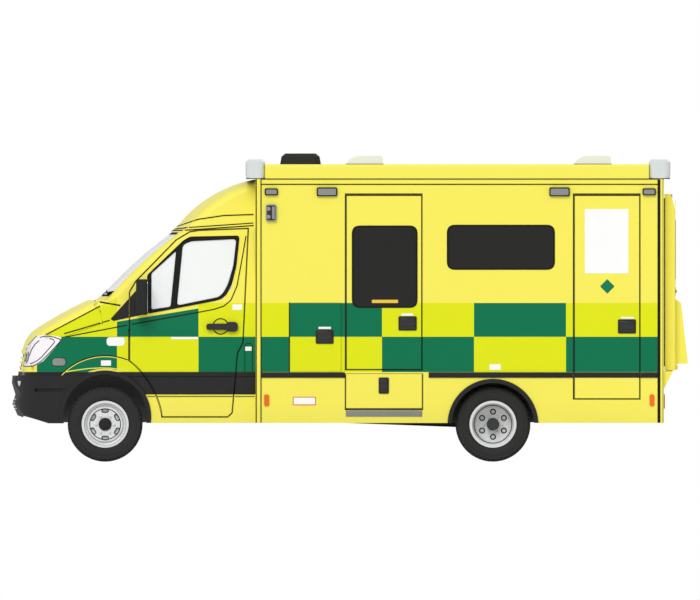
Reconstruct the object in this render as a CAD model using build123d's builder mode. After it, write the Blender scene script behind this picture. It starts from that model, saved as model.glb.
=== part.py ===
# Box-bodied ambulance on a van cab and chassis.
# Millimetres, +X forward, +Y to the vehicle's left, +Z up.
# The origin is on the ground under the middle of the vehicle.

import os

from build123d import *

os.makedirs("parts", exist_ok=True)

# Main lengths along the vehicle, front to rear
front_overhang = 882
wheelbase = 3665
axle_to_box = 1420
box_length = 3860
rear_door_depth = 109
blister_depth = 119
overall_length = front_overhang + axle_to_box + box_length + rear_door_depth + blister_depth

nose_x = overall_length / 2
front_axle_x = nose_x - front_overhang
rear_axle_x = front_axle_x - wheelbase
box_front_x = front_axle_x - axle_to_box
box_rear_x = box_front_x - box_length

# Clearances
seat_gap = 0.3
pin_gap = 0.7
door_gap = 6

# Wheels
tyre_radius = 354
bead_radius = 208
bead_height = 18
rim_wall = 10
rim_inset = 29
hub_radius = 60
front_tyre_width = 235
rear_tyre_width = 205
front_wheel_y = 868
rear_outer_wheel_y = 925
rear_inner_wheel_y = 700
axle_z = tyre_radius

# Steering
kingpin_y = 735
kingpin_radius = 14
wishbone_rise = 140
wishbone_thickness = 30
wishbone_half_width = 40

# Ladder frame
rail_y = 430
rail_width = 80
rail_bottom_z = 520
rail_top_z = 660
rail_front_x = nose_x - 330
rail_rear_x = box_rear_x + 60
crossmember_width = 80
crossmember_inset = 20
hitch_hole_radius = 7
hitch_spacing_y = 160
hitch_spacing_z = 60
jack_pad_width = 76
jack_pad_height = 25

# Cab
sill_z = 366
cab_half_width = 996
shoulder_z = 1250
gutter_z = 2230
gutter_half_width = 885
fairing_top_z = 2668
fairing_half_width = 805
cab_skin = 40
cab_shoulder_radius = 70
cab_curve_radius = nose_x + 1600
cab_floor_thickness = 40
bumper_top_z = 815
bumper_wall = 50
bumper_bottom_z = 362
arch_rise = 73
arch_radius = 395
flare_width = 40
flare_proud = 12
glass_inset = 12
glass_thickness = 6

# Box body
box_half_width = 1090
box_wall = 50
box_bottom_z = 366
box_wall_top_z = 2675
roof_rise = 135
roof_top_z = box_wall_top_z + roof_rise
roof_skin = 50
roof_edge_radius = 25
box_corner_radius = 25
door_edge = 1.5
floor_top_z = 860
floor_thickness = 60
rear_arch_radius = 389
rear_flare_width = 40
rear_housing_inner_y = 580
housing_skin = 8
box_glass_thickness = 8
box_glass_recess = 2
window_corner = 70

# Hinges
hinge_pin_radius = 5
hinge_seam = seat_gap + 2 * hinge_pin_radius + pin_gap


def block(x_range, y_range, z_range):
    """Rectangular solid between two planes on each axis."""
    size = [high - low for low, high in (x_range, y_range, z_range)]
    middle = [(high + low) / 2 for low, high in (x_range, y_range, z_range)]
    with BuildPart() as body:
        with Locations(tuple(middle)):
            Box(*size)
    return body.part


def side_prism(points, y_low, y_high, corner=0):
    """Solid whose outline is drawn in side view as (x, z), between two planes across the vehicle."""
    with BuildPart() as body:
        with BuildSketch(Plane.XZ.offset(-y_high)) as outline:
            with BuildLine():
                Polyline(*points, close=True)
            make_face()
            if corner:
                fillet(outline.vertices(), corner)
        extrude(amount=y_high - y_low)
    return body.part


def front_prism(points, x_low, x_high, corner=0):
    """Solid whose outline is drawn in front view as (y, z), between two planes along the vehicle."""
    with BuildPart() as body:
        with BuildSketch(Plane.YZ.offset(x_low)) as outline:
            with BuildLine():
                Polyline(*points, close=True)
            make_face()
            if corner:
                fillet(outline.vertices(), corner)
        extrude(amount=x_high - x_low)
    return body.part


def cross_cylinder(x, z, radius, y_low, y_high):
    """Cylinder across the vehicle."""
    with BuildPart() as body:
        with BuildSketch(Plane.XZ.offset(-y_high)):
            with Locations((x, z)):
                Circle(radius)
        extrude(amount=y_high - y_low)
    return body.part


def rectangle_points(x_low, x_high, z_low, z_high, cut=0):
    """Side view rectangle, with its corners cut off where cut is given."""
    if not cut:
        return [(x_low, z_low), (x_high, z_low), (x_high, z_high), (x_low, z_high)]
    return [
        (x_low + cut, z_low), (x_high - cut, z_low), (x_high, z_low + cut), (x_high, z_high - cut),
        (x_high - cut, z_high), (x_low + cut, z_high), (x_low, z_high - cut), (x_low, z_low + cut),
    ]


def mirrored(part):
    """The same piece on the other side of the vehicle."""
    return mirror(part, about=Plane.XZ)


def save(part, name):
    """Writes one sub-part under its own name."""
    part.label = name
    export_step(part, f"parts/{name}.step")


def save_pair(part, name):
    """Writes a left piece and its mirror image; the name holds {} for the side."""
    save(part, name.format("left"))
    save(mirrored(part), name.format("right"))


def behind_nose(distance, z):
    """Side view point at a distance behind the foremost point."""
    return (nose_x - distance, z)


# Side view outlines of the cab, each point as (distance behind the nose, height)
cab_foot = behind_nose(58, bumper_top_z)
bonnet_brow = behind_nose(100, 1043)
bonnet_front = behind_nose(249, 1270)
bonnet_rear = behind_nose(719, 1526)
screen_base = behind_nose(798, 1526)
screen_top = behind_nose(1552, 2209)
fairing_rear = (box_front_x, fairing_top_z)
form_overrun = 200


def cab_outline(x_origin):
    """Side view of the cab from nose to fairing, with x counted from the plan curve's axis."""
    foot, brow, front, rear, base, top, cap = (
        (x - x_origin, z)
        for x, z in (
            cab_foot, bonnet_brow, bonnet_front, bonnet_rear, screen_base, screen_top, fairing_rear,
        )
    )
    low = sill_z - form_overrun
    nose_mid = (nose_x - 155 - x_origin, 1185)
    bonnet_mid = (nose_x - 484 - x_origin, 1410)
    screen_mid = (nose_x - 1155 - x_origin, 1893)
    fairing_mid = (nose_x - 1914 - x_origin, 2527)
    back_x = box_front_x - form_overrun - x_origin
    Polyline((foot[0], low), foot, brow)
    ThreePointArc(brow, nose_mid, front)
    ThreePointArc(front, bonnet_mid, rear)
    Line(rear, base)
    ThreePointArc(base, screen_mid, top)
    ThreePointArc(top, fairing_mid, cap)
    Polyline(cap, (back_x, cap[1]), (back_x, low), (foot[0], low))


def plan_outline(margin):
    """Plan view of the cab with its rounded front corners, grown by a margin."""
    side_y = cab_half_width + margin
    corner_start = (nose_x - 695, side_y)
    corner_mid = (nose_x - 265 + margin, side_y - 91)
    corner_end = (nose_x - 55 + margin, cab_half_width - 436)
    tip = (nose_x + 205 + margin, 0)
    back_x = box_front_x - form_overrun
    Polyline(tip, corner_end)
    ThreePointArc(corner_end, corner_mid, corner_start)
    Polyline(corner_start, (back_x, side_y), (back_x, -side_y), (corner_start[0], -side_y))
    ThreePointArc(*((x, -y) for x, y in (corner_start, corner_mid, corner_end)))
    Line((corner_end[0], -corner_end[1]), tip)


curve_axis_x = nose_x - cab_curve_radius
curve_half_angle = 24


def curve_plane():
    """Upright plane through the plan curve's axis, where a swept outline starts."""
    start = -curve_half_angle
    return Plane(
        origin=(curve_axis_x, 0, 0),
        x_dir=Vector(1, 0, 0).rotate(Axis.Z, start),
        z_dir=Vector(0, -1, 0).rotate(Axis.Z, start),
    )


def cab_form(inset, shoulder=0):
    """Closed form of the cab, drawn inwards by inset; nose, screen and roof are curved in plan."""
    with BuildPart() as form:
        with BuildSketch(curve_plane()):
            with BuildLine():
                cab_outline(curve_axis_x)
            make_face()
            if inset:
                offset(amount=-inset, kind=Kind.INTERSECTION, mode=Mode.REPLACE)
        revolve(axis=Axis((curve_axis_x, 0, 0), (0, 0, 1)), revolution_arc=2 * curve_half_angle)
        with BuildSketch(Plane.YZ.offset(box_front_x - 2 * form_overrun)):
            with BuildLine():
                half = [
                    (cab_half_width, sill_z - form_overrun),
                    (cab_half_width, shoulder_z),
                    (gutter_half_width, gutter_z),
                    (fairing_half_width, fairing_top_z + form_overrun),
                ]
                Polyline(*half, *[(-y, z) for y, z in reversed(half)], close=True)
            make_face()
            if inset:
                offset(amount=-inset, kind=Kind.INTERSECTION, mode=Mode.REPLACE)
        extrude(amount=overall_length, mode=Mode.INTERSECT)
        with BuildSketch(Plane.XY):
            with BuildLine():
                plan_outline(0)
            make_face()
            if inset:
                offset(amount=-inset, kind=Kind.INTERSECTION, mode=Mode.REPLACE)
        extrude(amount=fairing_top_z + form_overrun, mode=Mode.INTERSECT)
        if shoulder:
            edges = form.edges().filter_by(lambda e: e.center().X > box_front_x + 100)
            edges = edges.filter_by(lambda e: abs(e.center().Y) > gutter_half_width - 100)
            edges = edges.filter_by(lambda e: e.center().Z > bonnet_brow[1] + 50)
            long_lines = edges.filter_by(GeomType.LINE).filter_by(lambda e: e.length > 300)
            fillet(edges - long_lines, shoulder)
    return form.part


cab_outer = cab_form(0, cab_shoulder_radius)
cab_inner = cab_form(cab_skin)
with BuildPart() as cab_shell:
    add(cab_outer)
    add(cab_inner, mode=Mode.SUBTRACT)
    add(
        block((box_front_x, nose_x), (-cab_half_width, cab_half_width), (sill_z, fairing_top_z)),
        mode=Mode.INTERSECT,
    )

arch_z = axle_z + arch_rise
front_arch = cross_cylinder(front_axle_x, arch_z, arch_radius, -box_half_width, box_half_width)

# Cab door outline in side view; the lower front corner sweeps round the wheel arch
door_front_x = nose_x - 1111
door_upper = [
    (door_front_x, 952),
    (door_front_x, 1604),
    behind_nose(1169, 1703),
    behind_nose(1552, 2095),
    behind_nose(1682, 2173),
    behind_nose(1769, 2187),
    (box_front_x + 66, 2205),
    (box_front_x + 117, 1122),
    (box_front_x + 169, 1027),
    (box_front_x + 219, 463),
    (box_front_x + 259, 422),
    (door_front_x - 308, 422),
]
door_arc_mid = (door_front_x - 195, 734)


def cab_door_prism(grow):
    """Cutter for the left cab door, grown outwards by a gap and wider along the hinge edge."""
    with BuildPart() as body:
        with BuildSketch(Plane.XZ.offset(-cab_half_width - form_overrun)):
            with BuildLine():
                Polyline(*door_upper)
                ThreePointArc(door_upper[-1], door_arc_mid, door_upper[0])
            make_face()
            if grow:
                offset(amount=grow, kind=Kind.INTERSECTION, mode=Mode.REPLACE)
        extrude(amount=cab_half_width)
        if grow:
            hinge_x = (door_front_x - grow, door_front_x + hinge_seam)
            add(block(hinge_x, (form_overrun, cab_half_width + form_overrun), (door_upper[0][1], shoulder_z)))
    return body.part


door_window = [
    behind_nose(1278, 1396),
    behind_nose(1278, 1764),
    behind_nose(1618, 2090),
    behind_nose(1684, 2128),
    (box_front_x + 150, 2138),
    (box_front_x + 226, 1641),
    (box_front_x + 316, 1533),
]
door_window_corner = 35
cab_side_y = (form_overrun, cab_half_width + form_overrun)
door_glass_skin = cab_form(glass_inset) - cab_form(glass_inset + glass_thickness)

with BuildPart() as cab_door:
    add(cab_shell.part)
    add(cab_door_prism(0), mode=Mode.INTERSECT)
    add(side_prism(door_window, *cab_side_y, door_window_corner), mode=Mode.SUBTRACT)
    add(front_arch, mode=Mode.SUBTRACT)
save_pair(cab_door.part, "cab_door_{}")

with BuildPart() as cab_door_glass:
    add(door_glass_skin)
    add(side_prism(door_window, *cab_side_y, door_window_corner), mode=Mode.INTERSECT)
save_pair(cab_door_glass.part, "cab_door_{}_glass")

# Door mirror on an arm from the foot of the window
mirror_x = (nose_x - 1283, nose_x - 1174)
mirror_y = (cab_half_width + 22, cab_half_width + 217)
mirror_z = (1388, 1725)
mirror_arm_z = (1420, 1500)
with BuildPart() as cab_mirror:
    add(block(mirror_x, mirror_y, mirror_z))
    fillet(cab_mirror.edges().filter_by(Axis.Z), 35)
    chamfer(cab_mirror.faces().filter_by(Axis.Z).edges(), 12)
    add(block((mirror_x[0] + 20, mirror_x[1] - 20), (gutter_half_width, mirror_y[0] + 40), mirror_arm_z))
    add(cab_outer, mode=Mode.SUBTRACT)
save_pair(cab_mirror.part, "cab_mirror_{}")

# The headlamp, bonnet, wings and grille are cut from the same skin along shared lines
lamp_inner_y = cab_half_width - 431
headlamp_outline = [
    behind_nose(0, 892),
    behind_nose(202, 897),
    behind_nose(296, 949),
    behind_nose(422, 1090),
    behind_nose(469, 1169),
    behind_nose(405, 1184),
    behind_nose(303, 1191),
    behind_nose(226, 1177),
    behind_nose(155, 1100),
    behind_nose(0, 1075),
]


def headlamp_prism(grow):
    """Cutter for the left headlamp, which wraps round the front corner under the bonnet."""
    with BuildPart() as body:
        with BuildSketch(Plane.XZ.offset(-cab_half_width)):
            with BuildLine():
                Polyline(*headlamp_outline, close=True)
            make_face()
            if grow:
                offset(amount=grow, kind=Kind.INTERSECTION, mode=Mode.REPLACE)
        extrude(amount=cab_half_width - lamp_inner_y + grow)
    return body.part


bonnet_seam = [behind_nose(0, 1022), behind_nose(90, 1035), behind_nose(469, 1176), behind_nose(850, 1306)]
bonnet_rear_x = nose_x - 779
bonnet_corner = (bonnet_seam[-1][0] + 20, 1420)
bonnet_edge_z = 1480
seam_slope = (bonnet_seam[3][1] - bonnet_seam[2][1]) / (bonnet_seam[3][0] - bonnet_seam[2][0])


def seam_z(x):
    """Height of the rear part of the bonnet seam, run on to the foot of the screen pillar."""
    return bonnet_seam[3][1] + seam_slope * (x - bonnet_seam[3][0])


cowl_edge_x = bonnet_rear_x - hinge_seam
wing_top_rear = (door_front_x + hinge_seam, 1392)
nose_top = behind_nose(0, 1600)


def bonnet_prism(grow):
    """Cutter for the bonnet: all above the seam and ahead of the cowl, lowered by a gap."""
    points = [(x, z - grow) for x, z in bonnet_seam]
    rear = [bonnet_corner, (bonnet_rear_x, bonnet_edge_z), (bonnet_rear_x, nose_top[1])]
    rear = [(x - (hinge_seam if grow else 0), z) for x, z in rear]
    return side_prism(points + rear + [nose_top], -cab_half_width, cab_half_width)


with BuildPart() as bonnet:
    add(cab_shell.part)
    add(bonnet_prism(0), mode=Mode.INTERSECT)
    add(headlamp_prism(door_gap), mode=Mode.SUBTRACT)
    add(mirrored(headlamp_prism(door_gap)), mode=Mode.SUBTRACT)
save(bonnet.part, "bonnet")

with BuildPart() as left_headlamp:
    add(cab_shell.part)
    add(headlamp_prism(0), mode=Mode.INTERSECT)
with BuildPart() as headlamps:
    add(left_headlamp.part)
    add(mirrored(left_headlamp.part))
save(headlamps.part, "headlamps")

# Front wing from headlamp to door, with the arch cut out
wing_rear_x = door_front_x - 308
pillar_foot_x = nose_x - 938
wing_top_front = (pillar_foot_x, seam_z(pillar_foot_x) - door_gap)
wing_outline = [
    (wing_rear_x, sill_z),
    (front_axle_x, sill_z),
    (front_axle_x, bumper_top_z),
    behind_nose(-10, bumper_top_z),
    (nose_x + 10, bonnet_seam[0][1] - door_gap),
    *[(x, z - door_gap) for x, z in bonnet_seam[1:]],
    wing_top_front,
    wing_top_rear,
    (wing_rear_x, wing_top_rear[1]),
]
with BuildPart() as left_wing:
    add(cab_shell.part)
    add(side_prism(wing_outline, lamp_inner_y, cab_half_width), mode=Mode.INTERSECT)
    add(headlamp_prism(0), mode=Mode.SUBTRACT)
    add(cab_door_prism(door_gap), mode=Mode.SUBTRACT)
    add(front_arch, mode=Mode.SUBTRACT)
with BuildPart() as front_wings:
    add(left_wing.part)
    add(mirrored(left_wing.part))
save(front_wings.part, "front_wings")

# Grille: a curved plate with slots between the slats
grille_slot_height = 26
grille_pitch = 44
grille_slots = 4
grille_margin = 45
grille_bottom_z = bumper_top_z
with BuildPart() as grille:
    add(cab_shell.part)
    grille_outline = [
        behind_nose(400, grille_bottom_z),
        behind_nose(-10, grille_bottom_z),
        (nose_x + 10, bonnet_seam[0][1] - door_gap),
        (bonnet_seam[1][0], bonnet_seam[1][1] - door_gap),
        behind_nose(400, 1100),
    ]
    add(side_prism(grille_outline, -lamp_inner_y, lamp_inner_y), mode=Mode.INTERSECT)
    for slot in range(grille_slots):
        slot_z = grille_bottom_z + grille_margin + slot * grille_pitch
        add(
            block(
                (nose_x - 400, nose_x),
                (grille_margin - lamp_inner_y, lamp_inner_y - grille_margin),
                (slot_z, slot_z + grille_slot_height),
            ),
            mode=Mode.SUBTRACT,
        )
save(grille.part, "grille")

# Windscreen aperture in front view
screen_low_y = gutter_half_width - 30
screen_high_y = gutter_half_width - 115
screen_aperture = [(-screen_low_y, 1562), (screen_low_y, 1562), (screen_high_y, 2168), (-screen_high_y, 2168)]
screen_x = (screen_top[0] - 400, screen_base[0] + 60)
screen_corner = 60
with BuildPart() as windscreen:
    add(door_glass_skin)
    add(front_prism(screen_aperture, *screen_x, screen_corner), mode=Mode.INTERSECT)
save(windscreen.part, "windscreen")

# Roof fairing above the gutter line
gutter_line = [(screen_top[0] + 500, 2180), (box_front_x, 2250)]
fairing_region = [*gutter_line, (box_front_x, fairing_top_z), (screen_top[0] + 500, fairing_top_z)]
with BuildPart() as cab_roof:
    add(cab_shell.part)
    add(side_prism(fairing_region, -cab_half_width, cab_half_width), mode=Mode.INTERSECT)
    add(front_prism(screen_aperture, *screen_x, screen_corner), mode=Mode.SUBTRACT)
save(cab_roof.part, "cab_roof")

# Pillars, header, cowl and sills: what the panels leave of the skin
cowl_corner_x = bonnet_seam[-1][0] - hinge_seam
front_region = [
    (wing_rear_x, sill_z),
    (nose_x + 10, sill_z),
    (nose_x + 10, nose_top[1]),
    (cowl_edge_x, nose_top[1]),
    (cowl_edge_x, bonnet_edge_z),
    (bonnet_corner[0] - hinge_seam, bonnet_corner[1]),
    (cowl_corner_x, seam_z(cowl_corner_x) - door_gap),
    wing_top_front,
    wing_top_rear,
    (wing_rear_x, wing_top_rear[1]),
]
with BuildPart() as cab_frame:
    add(cab_shell.part)
    add(side_prism(front_region, -cab_half_width, cab_half_width), mode=Mode.SUBTRACT)
    add(side_prism(fairing_region, -cab_half_width, cab_half_width), mode=Mode.SUBTRACT)
    add(front_prism(screen_aperture, *screen_x, screen_corner), mode=Mode.SUBTRACT)
    add(cab_door_prism(door_gap), mode=Mode.SUBTRACT)
    add(mirrored(cab_door_prism(door_gap)), mode=Mode.SUBTRACT)
save(cab_frame.part, "cab_frame")

# Bumper: wraps the nose below the wings, open behind
bumper_outline = [
    behind_nose(6, bumper_top_z),
    behind_nose(0, 745),
    behind_nose(33, 636),
    behind_nose(6, 549),
    behind_nose(53, 439),
    behind_nose(257, bumper_bottom_z),
    (front_axle_x + 140, bumper_bottom_z),
    (front_axle_x + 140, bumper_top_z),
]
bumper_margin = 8
bumper_depth = 110
groove_x = (nose_x - 524, nose_x - 217)
groove_z = 659
groove_height = 32
groove_depth = 12
with BuildPart() as front_bumper:
    with BuildSketch(curve_plane()):
        with BuildLine():
            Polyline(*[(x - curve_axis_x, z) for x, z in bumper_outline], close=True)
        make_face()
    revolve(axis=Axis((curve_axis_x, 0, 0), (0, 0, 1)), revolution_arc=2 * curve_half_angle)
    with BuildSketch(Plane.XY):
        with BuildLine():
            plan_outline(bumper_margin)
        make_face()
        bumper_half_width = cab_half_width + bumper_margin
        Rectangle(2 * overall_length, 2 * bumper_half_width, mode=Mode.INTERSECT)
    extrude(amount=bumper_top_z, mode=Mode.INTERSECT)
    with BuildSketch(Plane.XY):
        with BuildLine():
            plan_outline(bumper_margin - bumper_wall)
        make_face()
        with Locations((nose_x - bumper_depth - overall_length, 0)):
            Rectangle(2 * overall_length, 2 * bumper_half_width - 2 * bumper_wall, mode=Mode.INTERSECT)
    extrude(amount=bumper_top_z, mode=Mode.SUBTRACT)
    # Rub groove along both corners
    with BuildSketch(Plane.XY.offset(groove_z)):
        with BuildLine():
            plan_outline(bumper_margin + groove_depth)
        make_face()
        with BuildLine():
            plan_outline(bumper_margin - groove_depth)
        make_face(mode=Mode.SUBTRACT)
        with Locations(((groove_x[0] + groove_x[1]) / 2, 0)):
            Rectangle(groove_x[1] - groove_x[0], 4 * cab_half_width, mode=Mode.INTERSECT)
    extrude(amount=groove_height, mode=Mode.SUBTRACT)
    add(front_arch, mode=Mode.SUBTRACT)
    for y_low in (cab_half_width, -cab_half_width - form_overrun):
        flare_space = (arch_radius + flare_width + seat_gap, y_low, y_low + form_overrun)
        add(cross_cylinder(front_axle_x, arch_z, *flare_space), mode=Mode.SUBTRACT)
save(front_bumper.part, "front_bumper")

# Wheel arch flares, two front and two rear; columns: axle x, centre z, inner radius, width, wall y
flare_table = [
    (front_axle_x, arch_z, arch_radius, flare_width, cab_half_width),
    (rear_axle_x, axle_z, rear_arch_radius, rear_flare_width, box_half_width),
]
with BuildPart() as wheel_arch_flares:
    for flare_x, flare_z, flare_inner, width, wall_y in flare_table:
        for y_low in (wall_y, -wall_y - flare_proud):
            with BuildSketch(Plane.XZ.offset(-y_low - flare_proud)):
                with Locations((flare_x, flare_z)):
                    Circle(flare_inner + width)
                    Circle(flare_inner, mode=Mode.SUBTRACT)
                with Locations((flare_x, box_bottom_z - overall_length / 2)):
                    Rectangle(overall_length, overall_length, mode=Mode.SUBTRACT)
            extrude(amount=flare_proud)
    housing_depth = box_half_width - box_wall - seat_gap - rear_housing_inner_y
    for y_high in (rear_housing_inner_y + housing_depth, -rear_housing_inner_y):
        with BuildSketch(Plane.XZ.offset(-y_high)):
            with Locations((rear_axle_x, axle_z)):
                Circle(rear_arch_radius + seat_gap + housing_skin)
                Circle(rear_arch_radius + seat_gap, mode=Mode.SUBTRACT)
            with Locations((rear_axle_x, box_bottom_z - overall_length / 2)):
                Rectangle(overall_length, overall_length, mode=Mode.SUBTRACT)
        extrude(amount=housing_depth)
save(wheel_arch_flares.part, "wheel_arch_flares")

# Cab floor, toe board and firewall as one bent plate on the chassis rails
floor_half_width = cab_half_width - cab_skin - 41
cab_floor_line = [
    (box_front_x, rail_top_z),
    (front_axle_x - 433, rail_top_z),
    (front_axle_x - 13, 920),
    (front_axle_x + 37, 1475),
]
with BuildPart() as cab_floor:
    with BuildSketch(Plane.XZ.offset(-floor_half_width)):
        with BuildLine():
            upper = [
                (front_axle_x - 3, 1475),
                (front_axle_x - 53, 945),
                (front_axle_x - 446, rail_top_z + cab_floor_thickness),
                (box_front_x, rail_top_z + cab_floor_thickness),
            ]
            Polyline(*cab_floor_line, *upper, close=True)
        make_face()
    extrude(amount=2 * floor_half_width)
save(cab_floor.part, "cab_floor")

# Dashboard with the steering column and wheel on the right
dash_half_width = floor_half_width - 55
steering_y = -420
steering_radius = 195
steering_rim = 16
steering_hub = (front_axle_x - 500, 1330)
with BuildPart() as dashboard:
    with BuildSketch(Plane.XZ.offset(-dash_half_width)) as dash_profile:
        with BuildLine():
            dash_points = [
                (front_axle_x - 43, 1060),
                (front_axle_x - 9, 1420),
                (front_axle_x - 180, 1440),
                (front_axle_x - 350, 1390),
                (front_axle_x - 385, 1290),
                (front_axle_x - 250, 1080),
            ]
            Polyline(*dash_points, close=True)
        make_face()
        fillet(dash_profile.vertices().sort_by(Axis.X)[:2], 30)
    extrude(amount=2 * dash_half_width)
    wheel_plane = Plane(origin=(steering_hub[0], steering_y, steering_hub[1]), z_dir=(-0.85, 0, 0.53))
    with BuildSketch(wheel_plane):
        Circle(28)
    extrude(amount=-260)
    with BuildSketch(wheel_plane):
        Circle(60)
        with PolarLocations(steering_radius / 2, 3, start_angle=90):
            Rectangle(steering_radius, 36)
    extrude(amount=20)
    rim_section_plane = Plane(wheel_plane.offset(10).origin, x_dir=(0, 1, 0), z_dir=wheel_plane.x_dir)
    with BuildSketch(rim_section_plane):
        with Locations((steering_radius, 0)):
            RegularPolygon(steering_rim, 6)
    revolve(axis=Axis(wheel_plane.origin, wheel_plane.z_dir))
save(dashboard.part, "dashboard")

# Cab seats on boxes, columns: across the vehicle
seat_half_width = 250
seat_base_z = rail_top_z + cab_floor_thickness
seat_profile = [
    (box_front_x + 80, seat_base_z),
    (box_front_x + 560, seat_base_z),
    (box_front_x + 640, seat_base_z + 190),
    (box_front_x + 660, seat_base_z + 330),
    (box_front_x + 260, seat_base_z + 310),
    (box_front_x + 150, seat_base_z + 900),
    (box_front_x + 130, seat_base_z + 1090),
    (box_front_x + 30, seat_base_z + 1090),
    (box_front_x + 40, seat_base_z + 300),
]
with BuildPart() as cab_seats:
    for seat_y in (-steering_y, steering_y):
        add(side_prism(seat_profile, seat_y - seat_half_width, seat_y + seat_half_width))
save(cab_seats.part, "cab_seats")

# Ladder frame
crossmember_x = [
    rail_front_x - 85,
    front_axle_x - 813,
    box_front_x - 600,
    rear_axle_x + 750,
    rear_axle_x - 550,
    rail_rear_x + crossmember_width / 2,
]
spring_half_length = 690
with BuildPart() as chassis_frame:
    for rail_side in (-rail_y, rail_y):
        add(
            block(
                (rail_rear_x, rail_front_x),
                (rail_side - rail_width / 2, rail_side + rail_width / 2),
                (rail_bottom_z, rail_top_z),
            )
        )
        for hanger_x in (rear_axle_x - spring_half_length, rear_axle_x + spring_half_length):
            add(
                block(
                    (hanger_x - 50, hanger_x + 50),
                    (rail_side - 35, rail_side + 35),
                    (rail_bottom_z - 30, rail_bottom_z),
                )
            )
        for pad_x in (front_axle_x - 750, rear_axle_x + 950):
            with Locations((pad_x, rail_side, rail_bottom_z - jack_pad_height / 2)):
                Box(jack_pad_width, jack_pad_width, jack_pad_height)
    for member_x in crossmember_x:
        add(
            block(
                (member_x - crossmember_width / 2, member_x + crossmember_width / 2),
                (-rail_y, rail_y),
                (rail_bottom_z + crossmember_inset, rail_top_z - crossmember_inset),
            )
        )
    hitch_plane = Plane(
        origin=(rail_rear_x, 0, (rail_bottom_z + rail_top_z) / 2), x_dir=(0, 1, 0), z_dir=(-1, 0, 0)
    )
    with Locations(hitch_plane):
        with GridLocations(hitch_spacing_y, hitch_spacing_z, 2, 2):
            Hole(hitch_hole_radius, depth=crossmember_width)
save(chassis_frame.part, "chassis_frame")

# Engine with its gearbox, as one plain mass on the front crossmember
engine_bottom_z = rail_top_z - crossmember_inset
engine_front_x = rail_front_x - 10
engine_rear_x = front_axle_x + 110
gearbox_rear_x = front_axle_x - 560
prop_front_z = 470
with BuildPart() as engine:
    add(block((engine_rear_x, engine_front_x), (-280, 280), (engine_bottom_z, 1130)))
    add(block((gearbox_rear_x, engine_rear_x + 80), (-150, 150), (380, engine_bottom_z + 10)))
save(engine.part, "engine")

# Fuel tank on the outer face of the right rail
tank_x = (box_front_x - 740, box_front_x + 60)
tank_inset = 160
tank_outer_y = box_half_width - tank_inset
tank_z = (440, 650)
tank_corner = 45
with BuildPart() as fuel_tank:
    rail_face_y = rail_y + rail_width / 2 + seat_gap
    add(block(tank_x, (-tank_outer_y, -rail_face_y), tank_z))
    fillet(fuel_tank.edges().filter_by(Axis.X), tank_corner)
save(fuel_tank.part, "fuel_tank")

# Exhaust from the back of the engine to a silencer beside the propeller shaft
exhaust_y = 230
exhaust_z = 440
exhaust_radius = 30
silencer_radius = 70
tail_drop = 40
silencer_x = (box_front_x - 560, box_front_x + 40)
with BuildPart() as exhaust:
    with BuildLine():
        FilletPolyline(
            (engine_rear_x - seat_gap, exhaust_y, engine_bottom_z + 80),
            (engine_rear_x - 90, exhaust_y, engine_bottom_z + 80),
            (front_axle_x - 320, exhaust_y, exhaust_z),
            (silencer_x[0] - 150, exhaust_y, exhaust_z),
            (silencer_x[0] - 260, exhaust_y, exhaust_z - tail_drop),
            radius=60,
        )
    with BuildSketch(Plane((engine_rear_x - seat_gap, exhaust_y, engine_bottom_z + 80), z_dir=(-1, 0, 0))):
        Circle(exhaust_radius)
    sweep()
    with BuildSketch(Plane.YZ.offset(silencer_x[0])):
        with Locations((exhaust_y, exhaust_z)):
            Circle(silencer_radius)
    extrude(amount=silencer_x[1] - silencer_x[0])
save(exhaust.part, "exhaust")

# Front suspension: crossbeam under the rails, with an upper and a lower wishbone each side
beam_half_length = 120
with BuildPart() as front_suspension:
    beam_bottom_z = axle_z - wishbone_rise - 40
    add(
        block(
            (front_axle_x - beam_half_length, front_axle_x + beam_half_length),
            (-rail_y, rail_y),
            (beam_bottom_z, 375),
        )
    )
    for side in (-1, 1):
        post_y = sorted((side * (rail_y - 45), side * (rail_y + 45)))
        add(block((front_axle_x - 60, front_axle_x + 60), post_y, (beam_bottom_z, rail_bottom_z)))
        for arm_z in (axle_z - wishbone_rise, axle_z + wishbone_rise):
            with BuildSketch(Plane.XY.offset(arm_z - wishbone_thickness / 2)):
                with BuildLine():
                    root_y, tip_y = side * rail_y, side * kingpin_y
                    Polyline(
                        (front_axle_x - beam_half_length, root_y),
                        (front_axle_x + beam_half_length, root_y),
                        (front_axle_x + wishbone_half_width, tip_y),
                        (front_axle_x - wishbone_half_width, tip_y),
                        close=True,
                    )
                make_face()
                with Locations((front_axle_x, tip_y)):
                    Circle(wishbone_half_width)
                    Circle(kingpin_radius + seat_gap, mode=Mode.SUBTRACT)
            extrude(amount=wishbone_thickness)
save(front_suspension.part, "front_suspension")

# Knuckle: kingpin, upright, brake disc and stub axle
disc_radius = 150
disc_thickness = 28
disc_y = 790
front_hub_end_y = front_wheel_y + 88
knuckle_half_height = wishbone_rise - wishbone_thickness / 2 - 2
with BuildPart() as knuckle:
    with Locations((front_axle_x, kingpin_y, axle_z)):
        Cylinder(kingpin_radius, 2 * wishbone_rise + wishbone_thickness)
        Cylinder(wishbone_half_width, 2 * knuckle_half_height)
    add(cross_cylinder(front_axle_x, axle_z, hub_radius - seat_gap, kingpin_y, front_hub_end_y))
    add(cross_cylinder(front_axle_x, axle_z, disc_radius, disc_y, disc_y + disc_thickness))
save_pair(knuckle.part, "front_knuckle_{}")


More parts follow.
